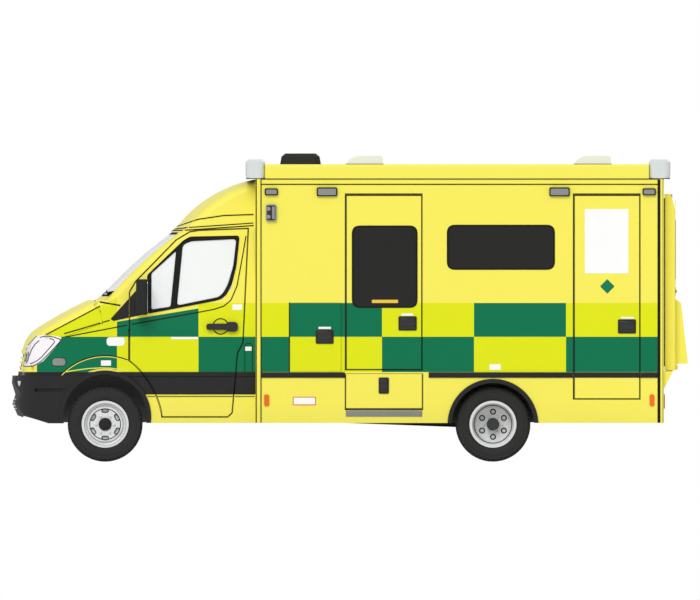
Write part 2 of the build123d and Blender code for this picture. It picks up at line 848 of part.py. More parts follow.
def tyre(axle_x, centre_y, width):
    """Plain tyre with a flat crown, sloping shoulders and full side walls."""
    # Half section; columns: distance in from the side wall, distance in from the tread
    half = [
        (rim_inset, tyre_radius - bead_radius),
        (rim_inset, tyre_radius - bead_radius - bead_height),
        (0, 75),
        (10, 22),
        (32, 0),
    ]
    outline = [(centre_y + width / 2 - inset, axle_z + tyre_radius - depth) for inset, depth in half]
    outline += [(2 * centre_y - y, z) for y, z in reversed(outline)]
    with BuildPart() as body:
        with BuildSketch(Plane.YZ.offset(axle_x)):
            with BuildLine():
                Polyline(*outline, close=True)
            make_face()
        revolve(axis=Axis((axle_x, 0, axle_z), (0, 1, 0)))
    return body.part


rim_radius = bead_radius - seat_gap
flange_height = 14
flange_width = 8


def rim_section(centre_y, width):
    """Half section of a rim barrel with its two flanges, drawn above the wheel axis."""
    bead_half = width / 2 - rim_inset
    for side in (-1, 1):
        flange_y = centre_y + side * (bead_half + seat_gap + flange_width / 2)
        with Locations((flange_y, axle_z + rim_radius - rim_wall / 2 + flange_height / 2)):
            Rectangle(flange_width, rim_wall + flange_height)
    with Locations((centre_y, axle_z + rim_radius - rim_wall / 2)):
        Rectangle(2 * bead_half + 2 * seat_gap + flange_width, rim_wall)


# Front wheels: a disc that bulges outwards, with oval vents round the hub
vent_count = 6
front_vent_ring = 128
front_vent_length = 66
front_vent_width = 34
with BuildPart() as front_rim:
    with BuildSketch(Plane.YZ.offset(front_axle_x)):
        rim_section(front_wheel_y, front_tyre_width)
        with BuildLine():
            # Columns: distance out from the wheel's middle, radius
            disc_section = [
                (50, rim_radius - rim_wall / 2),
                (40, 172),
                (62, 158),
                (62, hub_radius),
                (76, hub_radius),
                (76, 164),
                (54, 178),
                (62, rim_radius - rim_wall / 2),
            ]
            disc_points = [(front_wheel_y + reach, axle_z + radius) for reach, radius in disc_section]
            Polyline(*disc_points, close=True)
        make_face()
    revolve(axis=Axis((front_axle_x, 0, axle_z), (0, 1, 0)))
    vent_plane = Plane(origin=(front_axle_x, front_wheel_y + 100, axle_z), x_dir=(1, 0, 0), z_dir=(0, 1, 0))
    with BuildSketch(vent_plane):
        with PolarLocations(front_vent_ring, vent_count, start_angle=30):
            SlotOverall(front_vent_length, front_vent_width, rotation=90)
    extrude(amount=-80, mode=Mode.SUBTRACT)
save_pair(front_rim.part, "front_{}_rim")
save_pair(tyre(front_axle_x, front_wheel_y, front_tyre_width), "front_{}_tyre")

# Rear twin wheels: two rims bolted together at a dished disc
twin_plane_y = (rear_outer_wheel_y + rear_inner_wheel_y) / 2
twin_disc_thickness = 24
rear_vent_ring = 119
rear_vent_radius = 26
with BuildPart() as rear_rims:
    with BuildSketch(Plane.YZ.offset(rear_axle_x)):
        for wheel_y in (rear_outer_wheel_y, rear_inner_wheel_y):
            rim_section(wheel_y, rear_tyre_width)
        with Locations((twin_plane_y, axle_z + (hub_radius + 170) / 2)):
            Rectangle(twin_disc_thickness, 170 - hub_radius)
        for side in (-1, 1):
            with BuildLine():
                Polyline(
                    (twin_plane_y, axle_z + 160),
                    (twin_plane_y + side * 12, axle_z + 160),
                    (twin_plane_y + side * 52, axle_z + rim_radius - rim_wall / 2),
                    (twin_plane_y + side * 34, axle_z + rim_radius - rim_wall / 2),
                    (twin_plane_y, axle_z + 172),
                    close=True,
                )
            make_face()
    revolve(axis=Axis((rear_axle_x, 0, axle_z), (0, 1, 0)))
    twin_plane = Plane(origin=(rear_axle_x, twin_plane_y + 40, axle_z), x_dir=(1, 0, 0), z_dir=(0, 1, 0))
    with BuildSketch(twin_plane):
        with PolarLocations(rear_vent_ring, vent_count, start_angle=30):
            Circle(rear_vent_radius)
    extrude(amount=-80, mode=Mode.SUBTRACT)
save_pair(rear_rims.part, "rear_{}_rims")

with BuildPart() as rear_tyres:
    for wheel_y in (rear_outer_wheel_y, rear_inner_wheel_y):
        add(tyre(rear_axle_x, wheel_y, rear_tyre_width))
save_pair(rear_tyres.part, "rear_{}_tyres")

# Rear axle: tube, differential, drums, leaf springs and propeller shaft
axle_tube_radius = 55
drum_radius = 150
spring_leaf_stack = 36
spring_half_width = 32
differential_radius = 150
differential_half_length = 110
with BuildPart() as rear_axle:
    hub_end_y = twin_plane_y + 90
    add(cross_cylinder(rear_axle_x, axle_z, axle_tube_radius, -hub_end_y, hub_end_y))
    for side in (-1, 1):
        hub_y = sorted((side * (twin_plane_y - 150), side * hub_end_y))
        add(cross_cylinder(rear_axle_x, axle_z, hub_radius - seat_gap, *hub_y))
        drum_y = sorted((side * (rear_inner_wheel_y - 80), side * (twin_plane_y - 40)))
        add(cross_cylinder(rear_axle_x, axle_z, drum_radius, *drum_y))
        spring_y = side * rail_y
        with BuildSketch(Plane.XZ.offset(-spring_y - spring_half_width)):
            spring_top = rail_bottom_z - 30 - seat_gap
            sag = 50
            with BuildLine():
                ends = [(rear_axle_x - spring_half_length - 40, spring_top),
                        (rear_axle_x + spring_half_length + 40, spring_top)]
                ThreePointArc(ends[0], (rear_axle_x, spring_top - sag), ends[1])
                Line(ends[1], (ends[1][0], spring_top - 14))
                ThreePointArc(
                    (ends[1][0], spring_top - 14),
                    (rear_axle_x, spring_top - sag - spring_leaf_stack),
                    (ends[0][0], spring_top - 14),
                )
                Line((ends[0][0], spring_top - 14), ends[0])
            make_face()
        extrude(amount=2 * spring_half_width)
        add(
            block(
                (rear_axle_x - 70, rear_axle_x + 70),
                (spring_y - spring_half_width, spring_y + spring_half_width),
                (axle_z, spring_top - sag - spring_leaf_stack / 2),
            )
        )
    with BuildSketch(Plane.YZ.offset(rear_axle_x - differential_half_length)) as differential:
        with Locations((0, axle_z)):
            RegularPolygon(differential_radius, 12)
    extrude(amount=2 * differential_half_length)
    shaft_start = (rear_axle_x, 0, axle_z)
    shaft_end = (gearbox_rear_x, 0, prop_front_z)
    with BuildLine() as shaft_line:
        Line(shaft_start, shaft_end)
    with BuildSketch(Plane(shaft_start, z_dir=Vector(*shaft_end) - Vector(*shaft_start))):
        Circle(40)
    extrude(until=None, amount=(Vector(*shaft_end) - Vector(*shaft_start)).length - 6)
save(rear_axle.part, "rear_axle")

# Box body: plate walls between a front wall and a rear portal, with the roof and lamps on top
wall_inner_y = box_half_width - box_wall
saloon_front_x = box_front_x - box_wall
saloon_rear_x = box_rear_x + box_wall
rear_arch = cross_cylinder(rear_axle_x, axle_z, rear_arch_radius, -box_half_width, box_half_width)
floor_bottom_z = floor_top_z - floor_thickness


with BuildPart() as box_front_wall:
    wall_y = (-box_half_width, box_half_width)
    add(block((saloon_front_x, box_front_x), wall_y, (box_bottom_z, box_wall_top_z)))
    post_y = cab_half_width - cab_skin
    add(block((saloon_front_x, box_front_x), (-post_y, post_y), (box_bottom_z, rail_top_z)), mode=Mode.SUBTRACT)
    outer_edges = box_front_wall.edges().filter_by(Axis.Z).filter_by(
        lambda e: abs(e.center().Y) > box_half_width - seat_gap
    )
    fillet(outer_edges.group_by(Axis.X)[-1], box_corner_radius)
save(box_front_wall.part, "box_front_wall")

# Doors in the left wall; columns: name, rear x, front x, low z, high z, hinge edge
side_door_low_z = 869
upper_door_z = 2530
wall_doors = [
    ("side_door", box_front_x - 1574, box_front_x - 856, side_door_low_z, upper_door_z, "front"),
    ("front_locker_door", box_front_x - 809, box_front_x - 327, 850, 1500, "front"),
    ("rear_locker_door", box_rear_x + 226, box_rear_x + 849, 592, upper_door_z, "front"),
    ("step_flap", box_front_x - 1580, box_front_x - 850, 498, 829, "bottom"),
]
# Floor on two runners, with a well for the step behind its flap
step_well_x = (wall_doors[3][1] + door_gap, wall_doors[3][2] - door_gap)
step_well_z = wall_doors[3][3] - hinge_seam
step_well_inner_y = 760
well_plate = 15
with BuildPart() as box_floor:
    add(block((saloon_rear_x, saloon_front_x), (-wall_inner_y, wall_inner_y), (floor_bottom_z, floor_top_z)))
    for runner_y in (-rail_y, rail_y):
        add(
            block(
                (rail_rear_x, saloon_front_x),
                (runner_y - rail_width / 2, runner_y + rail_width / 2),
                (rail_top_z, floor_bottom_z),
            )
        )
    for grow, mode in ((well_plate, Mode.ADD), (0, Mode.SUBTRACT)):
        add(
            block(
                (step_well_x[0] - grow, step_well_x[1] + grow),
                (step_well_inner_y - grow, wall_inner_y),
                (step_well_z - grow, floor_bottom_z),
            ),
            mode=mode,
        )
save(box_floor.part, "box_floor")

# Windows; columns: rear x, front x, low z, high z
wall_window = (box_front_x - 2829, box_front_x - 1811, 1815, 2237)
side_door_window = (box_front_x - 1531, box_front_x - 913, 1455, 2230)
glass_y = (box_half_width - box_glass_recess - box_glass_thickness, box_half_width - box_glass_recess)


def window_cutter(window, grow):
    """Rounded window outline through the left wall."""
    x_low, x_high, z_low, z_high = window
    points = rectangle_points(x_low - grow, x_high + grow, z_low - grow, z_high + grow)
    return side_prism(points, wall_inner_y - 1, box_half_width + 1, window_corner + grow)


def window_glass(window):
    """Pane that fills a left wall window."""
    return side_prism(rectangle_points(*window), *glass_y, window_corner)


with BuildPart() as plain_wall:
    add(block((saloon_rear_x, saloon_front_x), (wall_inner_y, box_half_width), (box_bottom_z, box_wall_top_z)))
    add(rear_arch, mode=Mode.SUBTRACT)
    add(window_cutter(wall_window, seat_gap), mode=Mode.SUBTRACT)
save(mirrored(plain_wall.part), "box_right_wall")

with BuildPart() as box_left_wall:
    add(plain_wall.part)
    for door_name, x_low, x_high, z_low, z_high, hinge_edge in wall_doors:
        front_gap = hinge_seam if hinge_edge == "front" else door_gap
        bottom_gap = hinge_seam if hinge_edge == "bottom" else door_gap
        add(
            block(
                (x_low - door_gap, x_high + front_gap),
                (wall_inner_y - 1, box_half_width + 1),
                (z_low - bottom_gap, z_high + door_gap),
            ),
            mode=Mode.SUBTRACT,
        )
save(box_left_wall.part, "box_left_wall")

for door_name, x_low, x_high, z_low, z_high, hinge_edge in wall_doors:
    with BuildPart() as wall_door:
        add(block((x_low, x_high), (wall_inner_y + door_gap, box_half_width), (z_low, z_high)))
        chamfer(wall_door.faces().sort_by(Axis.Y)[-1].edges(), door_edge)
        if door_name == "side_door":
            add(window_cutter(side_door_window, seat_gap), mode=Mode.SUBTRACT)
    save(wall_door.part, door_name)

save(window_glass(side_door_window), "side_door_glass")
with BuildPart() as box_windows:
    add(window_glass(wall_window))
    add(mirrored(window_glass(wall_window)))
save(box_windows.part, "box_windows")

# Light bars fill the roof's ends; columns: rear x, front x
bar_top_z = box_wall_top_z + 182
bar_corner = 60
bar_edge = 25
bar_spans = [(box_front_x - 91, box_front_x + 89), (box_rear_x - 58, box_rear_x + 141)]
with BuildPart() as light_bars:
    for bar_span in bar_spans:
        with BuildPart(mode=Mode.PRIVATE) as bar:
            add(block(bar_span, (-box_half_width, box_half_width), (box_wall_top_z, bar_top_z)))
            fillet(bar.edges().filter_by(Axis.Z), bar_corner)
            chamfer(bar.edges().group_by(Axis.Z)[-1], bar_edge)
        add(bar.part)
save(light_bars.part, "light_bars")

with BuildPart() as box_roof:
    roof_x = (bar_spans[1][1], bar_spans[0][0])
    add(block(roof_x, (-box_half_width, box_half_width), (box_wall_top_z, roof_top_z)))
    fillet(box_roof.edges().filter_by(Axis.X).group_by(Axis.Z)[-1], roof_edge_radius)
    add(
        block(roof_x, (-wall_inner_y, wall_inner_y), (box_wall_top_z, roof_top_z - roof_skin)),
        mode=Mode.SUBTRACT,
    )
save(box_roof.part, "box_roof")

# Roof fittings
dome_x = (box_front_x - 620, box_front_x - 233)
dome_height = 103
dome_crown = 30
dome_crown_inset = 13
dome_half_width = 190
with BuildPart() as roof_dome:
    for base_z, base_inset, height, taper in (
        (roof_top_z, 0, dome_height - dome_crown, 10),
        (roof_top_z + dome_height - dome_crown, dome_crown_inset, dome_crown, 50),
    ):
        with BuildSketch(Plane.XY.offset(base_z)):
            with Locations(((dome_x[0] + dome_x[1]) / 2, 0)):
                length = dome_x[1] - dome_x[0] - 2 * base_inset
                RectangleRounded(length, 2 * dome_half_width - 2 * base_inset, 70)
        extrude(amount=height, taper=taper)
save(roof_dome.part, "roof_dome")

vent_rise = 81
vent_top_z = roof_top_z + vent_rise
vent_brow = 130
brow_bulge = (0.36, 0.66)
vent_heel = 30
heel_bulge = 0.3
vent_length = 350
vent_half_width = 180
with BuildPart() as roof_vents:
    for vent_front_x in (box_front_x - 856, box_rear_x + 849):
        vent_rear_x = vent_front_x - vent_length
        brow = (vent_front_x - vent_brow, vent_top_z)
        brow_mid = (vent_front_x - brow_bulge[0] * vent_brow, roof_top_z + brow_bulge[1] * vent_rise)
        heel = (vent_rear_x + vent_heel, vent_top_z)
        heel_mid = (vent_rear_x + heel_bulge * vent_heel, vent_top_z - heel_bulge * vent_heel)
        heel_low = (vent_rear_x, vent_top_z - vent_heel)
        with BuildSketch(Plane.XZ.offset(-vent_half_width)):
            with BuildLine():
                ThreePointArc((vent_front_x, roof_top_z), brow_mid, brow)
                Line(brow, heel)
                ThreePointArc(heel, heel_mid, heel_low)
                Polyline(heel_low, (vent_rear_x, roof_top_z), (vent_front_x, roof_top_z))
            make_face()
        extrude(amount=2 * vent_half_width)
save(roof_vents.part, "roof_vents")

# Side lamps on both cant rails; columns: rear x, front x, low z, high z
side_lamp_proud = 22
side_lamp_table = [
    (box_front_x - 212, box_front_x - 89, 2518, 2582),
    (box_front_x - 772, box_front_x - 581, 2509, 2591),
    (box_rear_x + 891, box_rear_x + 1081, 2509, 2591),
    (box_rear_x + 77, box_rear_x + 200, 2518, 2582),
]
marker_proud = 10
lamp_corner = 10
marker_table = [
    (box_front_x - 130, box_front_x - 82, 526, 635),
    (box_rear_x + 90, box_rear_x + 135, 526, 635),
]
for lamp_name, lamp_table, proud in (
    ("side_lamps", side_lamp_table, side_lamp_proud),
    ("marker_lamps", marker_table, marker_proud),
):
    with BuildPart() as wall_lamps:
        for x_low, x_high, z_low, z_high in lamp_table:
            lamp_points = rectangle_points(x_low, x_high, z_low, z_high, lamp_corner)
            for y_low in (box_half_width, -box_half_width - proud):
                add(side_prism(lamp_points, y_low, y_low + proud))
    save(wall_lamps.part, lamp_name)

# Air inlet high on the left wall
inlet_proud = 25
inlet_points = rectangle_points(box_front_x - 198, box_front_x - 100, 2272, 2430)
save(side_prism(inlet_points, box_half_width, box_half_width + inlet_proud, 20), "side_inlet")

# Rear portal with a sloping ledge below the doors and a slot to the tow bar holes
portal_half_width = 880
portal_low_z = 900
portal_high_z = 2470
hitch_slot_half_width = 200
hitch_slot_z = (480, 680)
ledge_outline = [(box_rear_x, 687), (box_rear_x, 855), (box_rear_x - 87, 855)]
with BuildPart() as box_rear_frame:
    frame_x = (box_rear_x, saloon_rear_x)
    add(block(frame_x, (-box_half_width, box_half_width), (box_bottom_z, box_wall_top_z)))
    add(
        block(frame_x, (-portal_half_width, portal_half_width), (portal_low_z, portal_high_z)),
        mode=Mode.SUBTRACT,
    )
    add(block(frame_x, (-hitch_slot_half_width, hitch_slot_half_width), hitch_slot_z), mode=Mode.SUBTRACT)
    corner_edges = box_rear_frame.edges().filter_by(Axis.Z).group_by(Axis.X)[0]
    fillet(corner_edges.filter_by(lambda e: abs(e.center().Y) > wall_inner_y), box_corner_radius)
    add(side_prism(ledge_outline, -wall_inner_y, wall_inner_y))
save(box_rear_frame.part, "box_rear_frame")

rear_lamp_proud = 8
with BuildPart() as rear_lamps:
    for y_low in (-1060, 830):
        lamp_points = [(y_low, 500), (y_low + 230, 500), (y_low + 230, 640), (y_low, 640)]
        add(front_prism(lamp_points, box_rear_x - rear_lamp_proud, box_rear_x, 25))
save(rear_lamps.part, "rear_lamps")

# Rear doors: lapped over the portal, with a wedge shaped blister on the lower half
leaf_outer_y = 935
leaf_skin = 45
leaf_corner_radius = 15
leaf_low_z = 863
leaf_front_x = box_rear_x - hinge_pin_radius - seat_gap
leaf_rear_x = box_rear_x - rear_door_depth
leaf_outline = [
    (leaf_front_x, leaf_low_z),
    (leaf_rear_x, leaf_low_z),
    (leaf_rear_x, 2378),
    (leaf_rear_x + 42, upper_door_z),
    (leaf_front_x, upper_door_z),
]
blister_outline = [
    (leaf_rear_x, 1537),
    (leaf_rear_x - 53, 1500),
    (leaf_rear_x - blister_depth, 928),
    (leaf_rear_x, 923),
]
blister_y = (90, leaf_outer_y - 90)
bead_radius_rear = 27
rear_window = [(170, 1700), (leaf_outer_y - 170, 1700), (leaf_outer_y - 170, 2280), (170, 2280)]
pocket_margin = 70
with BuildPart() as rear_door:
    add(side_prism(leaf_outline, door_gap / 2, leaf_outer_y))
    fillet(rear_door.faces().sort_by(Axis.X)[0].edges().filter_by(Axis.Z), leaf_corner_radius)
    pocket_points = [
        (leaf_front_x + 10, portal_low_z + pocket_margin),
        (leaf_rear_x + leaf_skin, portal_low_z + pocket_margin),
        (leaf_rear_x + leaf_skin, portal_high_z - 2 * pocket_margin),
        (leaf_front_x + 10, portal_high_z - pocket_margin),
    ]
    add(
        side_prism(pocket_points, pocket_margin, leaf_outer_y - 2 * pocket_margin),
        mode=Mode.SUBTRACT,
    )
    add(side_prism(blister_outline, *blister_y))
    add(cross_cylinder(leaf_rear_x, leaf_low_z + bead_radius_rear + 4, bead_radius_rear, *blister_y))
    add(front_prism(rear_window, leaf_rear_x - 1, leaf_front_x, window_corner), mode=Mode.SUBTRACT)
save_pair(rear_door.part, "rear_door_{}")

with BuildPart() as rear_door_glass:
    add(
        front_prism(
            rear_window,
            leaf_rear_x + box_glass_recess,
            leaf_rear_x + box_glass_recess + box_glass_thickness,
            window_corner,
        )
    )
save_pair(rear_door_glass.part, "rear_door_{}_glass")

# Long hinge pins in the door seams
pin_offset = pin_gap + hinge_pin_radius
pin_margin = 40
cab_pin_z = (door_upper[0][1] + pin_margin, shoulder_z - 20)
bonnet_pin_y = 330
with BuildPart() as hinge_pins:
    # Upright pins; columns: x, y, low z, high z
    upright_pins = []
    for door_name, x_low, x_high, z_low, z_high, hinge_edge in wall_doors:
        if hinge_edge == "front":
            upright_pins.append((x_high + pin_offset, box_half_width, z_low + pin_margin, z_high - pin_margin))
        else:
            with Locations(((x_low + x_high) / 2, box_half_width, z_low - pin_offset)):
                Cylinder(hinge_pin_radius, x_high - x_low - 2 * pin_margin, rotation=(0, 90, 0))
    for side in (-1, 1):
        upright_pins.append((door_front_x + pin_offset, side * cab_half_width, *cab_pin_z))
        leaf_pin_z = (leaf_low_z + pin_margin, upper_door_z - pin_margin)
        upright_pins.append((leaf_front_x, side * (leaf_outer_y + pin_offset), *leaf_pin_z))
    for pin_x, pin_y, z_low, z_high in upright_pins:
        with Locations((pin_x, pin_y, (z_low + z_high) / 2)):
            Cylinder(hinge_pin_radius, z_high - z_low)
    with Locations((bonnet_rear_x - pin_offset, 0, bonnet_rear[1])):
        Cylinder(hinge_pin_radius, 2 * bonnet_pin_y, rotation=(90, 0, 0))
save(hinge_pins.part, "hinge_pins")
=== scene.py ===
import math

import bmesh
import bpy
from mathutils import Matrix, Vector
from mathutils.bvhtree import BVHTree
from mathutils.geometry import delaunay_2d_cdt


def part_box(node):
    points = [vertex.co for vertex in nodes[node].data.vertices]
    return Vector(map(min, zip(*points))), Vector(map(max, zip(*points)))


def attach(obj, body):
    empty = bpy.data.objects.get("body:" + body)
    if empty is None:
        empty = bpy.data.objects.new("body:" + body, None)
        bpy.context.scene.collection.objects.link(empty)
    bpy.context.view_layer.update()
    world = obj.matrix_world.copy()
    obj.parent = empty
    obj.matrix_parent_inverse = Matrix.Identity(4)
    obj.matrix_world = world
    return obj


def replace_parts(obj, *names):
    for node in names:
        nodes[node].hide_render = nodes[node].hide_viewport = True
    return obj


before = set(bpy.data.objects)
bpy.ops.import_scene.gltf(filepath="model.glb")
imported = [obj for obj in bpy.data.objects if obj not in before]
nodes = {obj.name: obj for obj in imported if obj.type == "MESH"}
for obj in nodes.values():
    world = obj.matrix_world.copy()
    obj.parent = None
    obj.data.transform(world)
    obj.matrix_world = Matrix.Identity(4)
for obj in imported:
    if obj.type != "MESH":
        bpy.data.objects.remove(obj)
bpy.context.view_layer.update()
scene = bpy.context.scene
print("frame loaded:", len(nodes), "nodes")

# The drawing is square on, so one scale turns its points into side view metres (x forward, z up)
drawing = {"scale": 0.00945, "zeroX": 3.3065, "zeroZ": 461.7 * 0.00945}


def sidePoint(across, down):
    return (drawing["zeroX"] - drawing["scale"] * across, drawing["zeroZ"] - drawing["scale"] * down)


def sidePoints(*pairs):
    return [sidePoint(*pair) for pair in pairs]


# camera, light, floor
studio = {
    "viewWidth": 6.615,
    "viewCentre": (-0.001, 1.528),
    "distance": 14.0,
    "skyFill": 0.62,
    "keyStrength": 1.34,
    "rimStrength": 0.5,
    "floorColour": (0.86, 0.86, 0.85, 1),
    "floorSize": 60.0,
    "floorZ": -0.001,
}
cameraData = bpy.data.cameras.new("studioCamera")
cameraData.type = "ORTHO"
cameraData.ortho_scale = studio["viewWidth"]
cameraData.clip_end = 100
camera = bpy.data.objects.new("studioCamera", cameraData)
camera.location = (studio["viewCentre"][0], studio["distance"], studio["viewCentre"][1])
camera.rotation_euler = (math.pi / 2, 0, math.pi)
scene.collection.objects.link(camera)
scene.camera = camera
scene.view_settings.view_transform = "Standard"

for sunName, strength, turn in (
    ("keySun", studio["keyStrength"], (-0.85, 0.35, 0)),
    ("rimSun", studio["rimStrength"], (0.7, -0.5, 0)),
):
    sunData = bpy.data.lights.new(sunName, "SUN")
    sunData.energy = strength
    sunData.angle = 0.6
    sun = bpy.data.objects.new(sunName, sunData)
    sun.rotation_euler = turn
    scene.collection.objects.link(sun)

world = bpy.data.worlds.new("studioWorld")
scene.world = world
world.use_nodes = True
worldTree = world.node_tree
worldTree.nodes.clear()
lightPath = worldTree.nodes.new("ShaderNodeLightPath")
seen = worldTree.nodes.new("ShaderNodeMath")
seen.operation = "MAXIMUM"
worldTree.links.new(lightPath.outputs["Is Camera Ray"], seen.inputs[0])
worldTree.links.new(lightPath.outputs["Is Transmission Ray"], seen.inputs[1])
fillSky = worldTree.nodes.new("ShaderNodeBackground")
fillSky.inputs["Color"].default_value = (1, 1, 1, 1)
fillSky.inputs["Strength"].default_value = studio["skyFill"]
whiteSky = worldTree.nodes.new("ShaderNodeBackground")
whiteSky.inputs["Color"].default_value = (1, 1, 1, 1)
skyMix = worldTree.nodes.new("ShaderNodeMixShader")
worldOut = worldTree.nodes.new("ShaderNodeOutputWorld")
worldTree.links.new(seen.outputs[0], skyMix.inputs[0])
worldTree.links.new(fillSky.outputs[0], skyMix.inputs[1])
worldTree.links.new(whiteSky.outputs[0], skyMix.inputs[2])
worldTree.links.new(skyMix.outputs[0], worldOut.inputs[0])


def linear(red, green, blue):
    parts = []
    for value in (red, green, blue):
        value /= 255
        parts.append(value / 12.92 if value <= 0.04045 else ((value + 0.055) / 1.055) ** 2.4)
    return (*parts, 1)


paleYellow = linear(247, 236, 94)
limeSquare = linear(224, 230, 18)
greenSquare = linear(0, 114, 77)
blackTrim = linear(37, 37, 37)
rubberBlack = linear(20, 20, 21)
panelWhite = linear(226, 228, 226)
cabGrey = linear(150, 152, 152)


# material helpers
def calc(tree, operation, *values):
    node = tree.nodes.new("ShaderNodeMath")
    node.operation = operation
    for place, value in enumerate(values):
        if isinstance(value, (int, float)):
            node.inputs[place].default_value = value
        else:
            tree.links.new(value, node.inputs[place])
    return node.outputs[0]


def blendColour(tree, factor, first, second):
    node = tree.nodes.new("ShaderNodeMix")
    node.data_type = "RGBA"
    sockets = {"Factor": factor, "A": first, "B": second}
    for socket in node.inputs:
        fits = socket.type == "RGBA" or (socket.name == "Factor" and socket.type == "VALUE")
        if socket.name in sockets and fits:
            value = sockets[socket.name]
            if isinstance(value, (int, float, tuple)):
                socket.default_value = value
            else:
                tree.links.new(value, socket)
    return next(socket for socket in node.outputs if socket.type == "RGBA")


def within(tree, value, low, high):
    return calc(tree, "COMPARE", value, (low + high) / 2, abs(high - low) / 2)


def allOf(tree, *masks):
    result = masks[0]
    for mask in masks[1:]:
        result = calc(tree, "MULTIPLY", result, mask)
    return result


def noise(tree, place, size, detail=2):
    node = tree.nodes.new("ShaderNodeTexNoise")
    node.inputs["Scale"].default_value = size
    node.inputs["Detail"].default_value = detail
    tree.links.new(place, node.inputs["Vector"])
    return node.outputs[0]


def startMaterial(name):
    material = bpy.data.materials.new(name)
    material.use_nodes = True
    tree = material.node_tree
    shader = tree.nodes["Principled BSDF"]
    coordinates = tree.nodes.new("ShaderNodeTexCoord")
    return material, tree, shader, coordinates


# grain bump, patchy gloss and a little colour drift for every finish
def surfaceFinish(tree, shader, coordinates, look):
    place = coordinates.outputs["Object"]
    grain = noise(tree, place, look.get("grainSize", 300), 3)
    bump = tree.nodes.new("ShaderNodeBump")
    bump.inputs["Strength"].default_value = look.get("grain", 0.05)
    bump.inputs["Distance"].default_value = look.get("grainDepth", 0.001)
    tree.links.new(grain, bump.inputs["Height"])
    tree.links.new(bump.outputs[0], shader.inputs["Normal"])
    patches = noise(tree, place, look.get("patchSize", 3), 4)
    spread = look.get("glossSpread", 0.08)
    rough = look.get("roughness", 0.4)
    gloss = calc(tree, "MULTIPLY_ADD", patches, spread, rough - spread / 2)
    tree.links.new(gloss, shader.inputs["Roughness"])
    return patches


coatRoughness = 0.08


def plainFinish(name, colour, **look):
    material, tree, shader, coordinates = startMaterial(name)
    patches = surfaceFinish(tree, shader, coordinates, look)
    drift = look.get("drift", 0.06)
    darker = tuple(channel * (1 - drift) for channel in colour[:3]) + (1,)
    lighter = tuple(min(1, channel * (1 + drift)) for channel in colour[:3]) + (1,)
    tree.links.new(blendColour(tree, patches, darker, lighter), shader.inputs["Base Color"])
    shader.inputs["Metallic"].default_value = look.get("metallic", 0)
    shader.inputs["Coat Weight"].default_value = look.get("coat", 0)
    shader.inputs["Coat Roughness"].default_value = coatRoughness
    shader.inputs["Specular IOR Level"].default_value = look.get("specular", 0.2)
    if "alpha" in look:
        shader.inputs["Alpha"].default_value = look["alpha"]
    if "glow" in look:
        shader.inputs["Emission Color"].default_value = colour
        shader.inputs["Emission Strength"].default_value = look["glow"]
    return material


# side view blocks of the livery; columns: rear x, front x, low z, high z, colour
squareRows = {"top": 1.4998, "middle": 1.1804, "bottom": 0.8467}
boxColumns = [0.840, 0.566, -0.3034, -1.1728, -2.0422, -2.9069]


def boxSquares():
    squares = []
    for place, (front, rear) in enumerate(zip(boxColumns, boxColumns[1:])):
        upper, lower = (limeSquare, greenSquare) if place % 2 == 0 else (greenSquare, limeSquare)
        squares.append((rear, front, squareRows["middle"], squareRows["top"], upper))
        squares.append((rear, front, squareRows["bottom"], squareRows["middle"], lower))
    return squares


def axisSockets(tree, coordinates):
    place = tree.nodes.new("ShaderNodeSeparateXYZ")
    tree.links.new(coordinates.outputs["Object"], place.inputs[0])
    facing = tree.nodes.new("ShaderNodeSeparateXYZ")
    tree.links.new(coordinates.outputs["Normal"], facing.inputs[0])
    return place.outputs, facing.outputs


# dust thins out upwards from the road
dirt = {"fade": -2.2, "start": 1.25, "share": 0.35, "most": 0.18, "colour": linear(150, 140, 100)}


def roadDirt(tree, colour, height, patches):
    dust = calc(tree, "MULTIPLY_ADD", height, dirt["fade"], dirt["start"])
    dust = calc(tree, "MULTIPLY", calc(tree, "MAXIMUM", dust, 0.0), patches)
    dust = calc(tree, "MINIMUM", calc(tree, "MULTIPLY", dust, dirt["share"]), dirt["most"])
    return blendColour(tree, dust, colour, dirt["colour"])


paintLook = {
    "grainSize": 220, "grain": 0.03, "roughness": 0.34, "glossSpread": 0.1, "patchSize": 2.5,
    "coat": 0.06, "specular": 0.14,
}


def paintFinish(name, addLivery):
    material, tree, shader, coordinates = startMaterial(name)
    patches = surfaceFinish(tree, shader, coordinates, paintLook)
    place, facing = axisSockets(tree, coordinates)
    side = calc(tree, "SIGN", place[1])
    outward = calc(tree, "MULTIPLY", facing[1], side)
    colour = addLivery(tree, place, facing, outward)
    colour = roadDirt(tree, colour, place[2], patches)
    tree.links.new(colour, shader.inputs["Base Color"])
    shader.inputs["Coat Weight"].default_value = paintLook["coat"]
    shader.inputs["Coat Roughness"].default_value = coatRoughness
    shader.inputs["Specular IOR Level"].default_value = paintLook["specular"]
    return material


# where the box's faces lie, and how squarely a face must look one way to count
boxFaces = {
    "wall": 1.02, "leftWall": 1.0, "skinInside": 1.045, "cab": 0.94, "square": 0.6, "shut": 0.3,
    "rearInside": -2.98, "frontWall": 0.8, "backDoors": -2.8, "roof": 2.4, "roofX": (-2.97, 0.84),
    "bulkheadX": (0.85, 0.95), "bulkheadZ": (0.5, 2.2),
    # doors in the wall; columns: rear x, front x, low z, high z
    "doors": ((-0.690, 0.057, 0.485, 2.541), (-2.75, -2.109, 0.583, 2.539)),
}


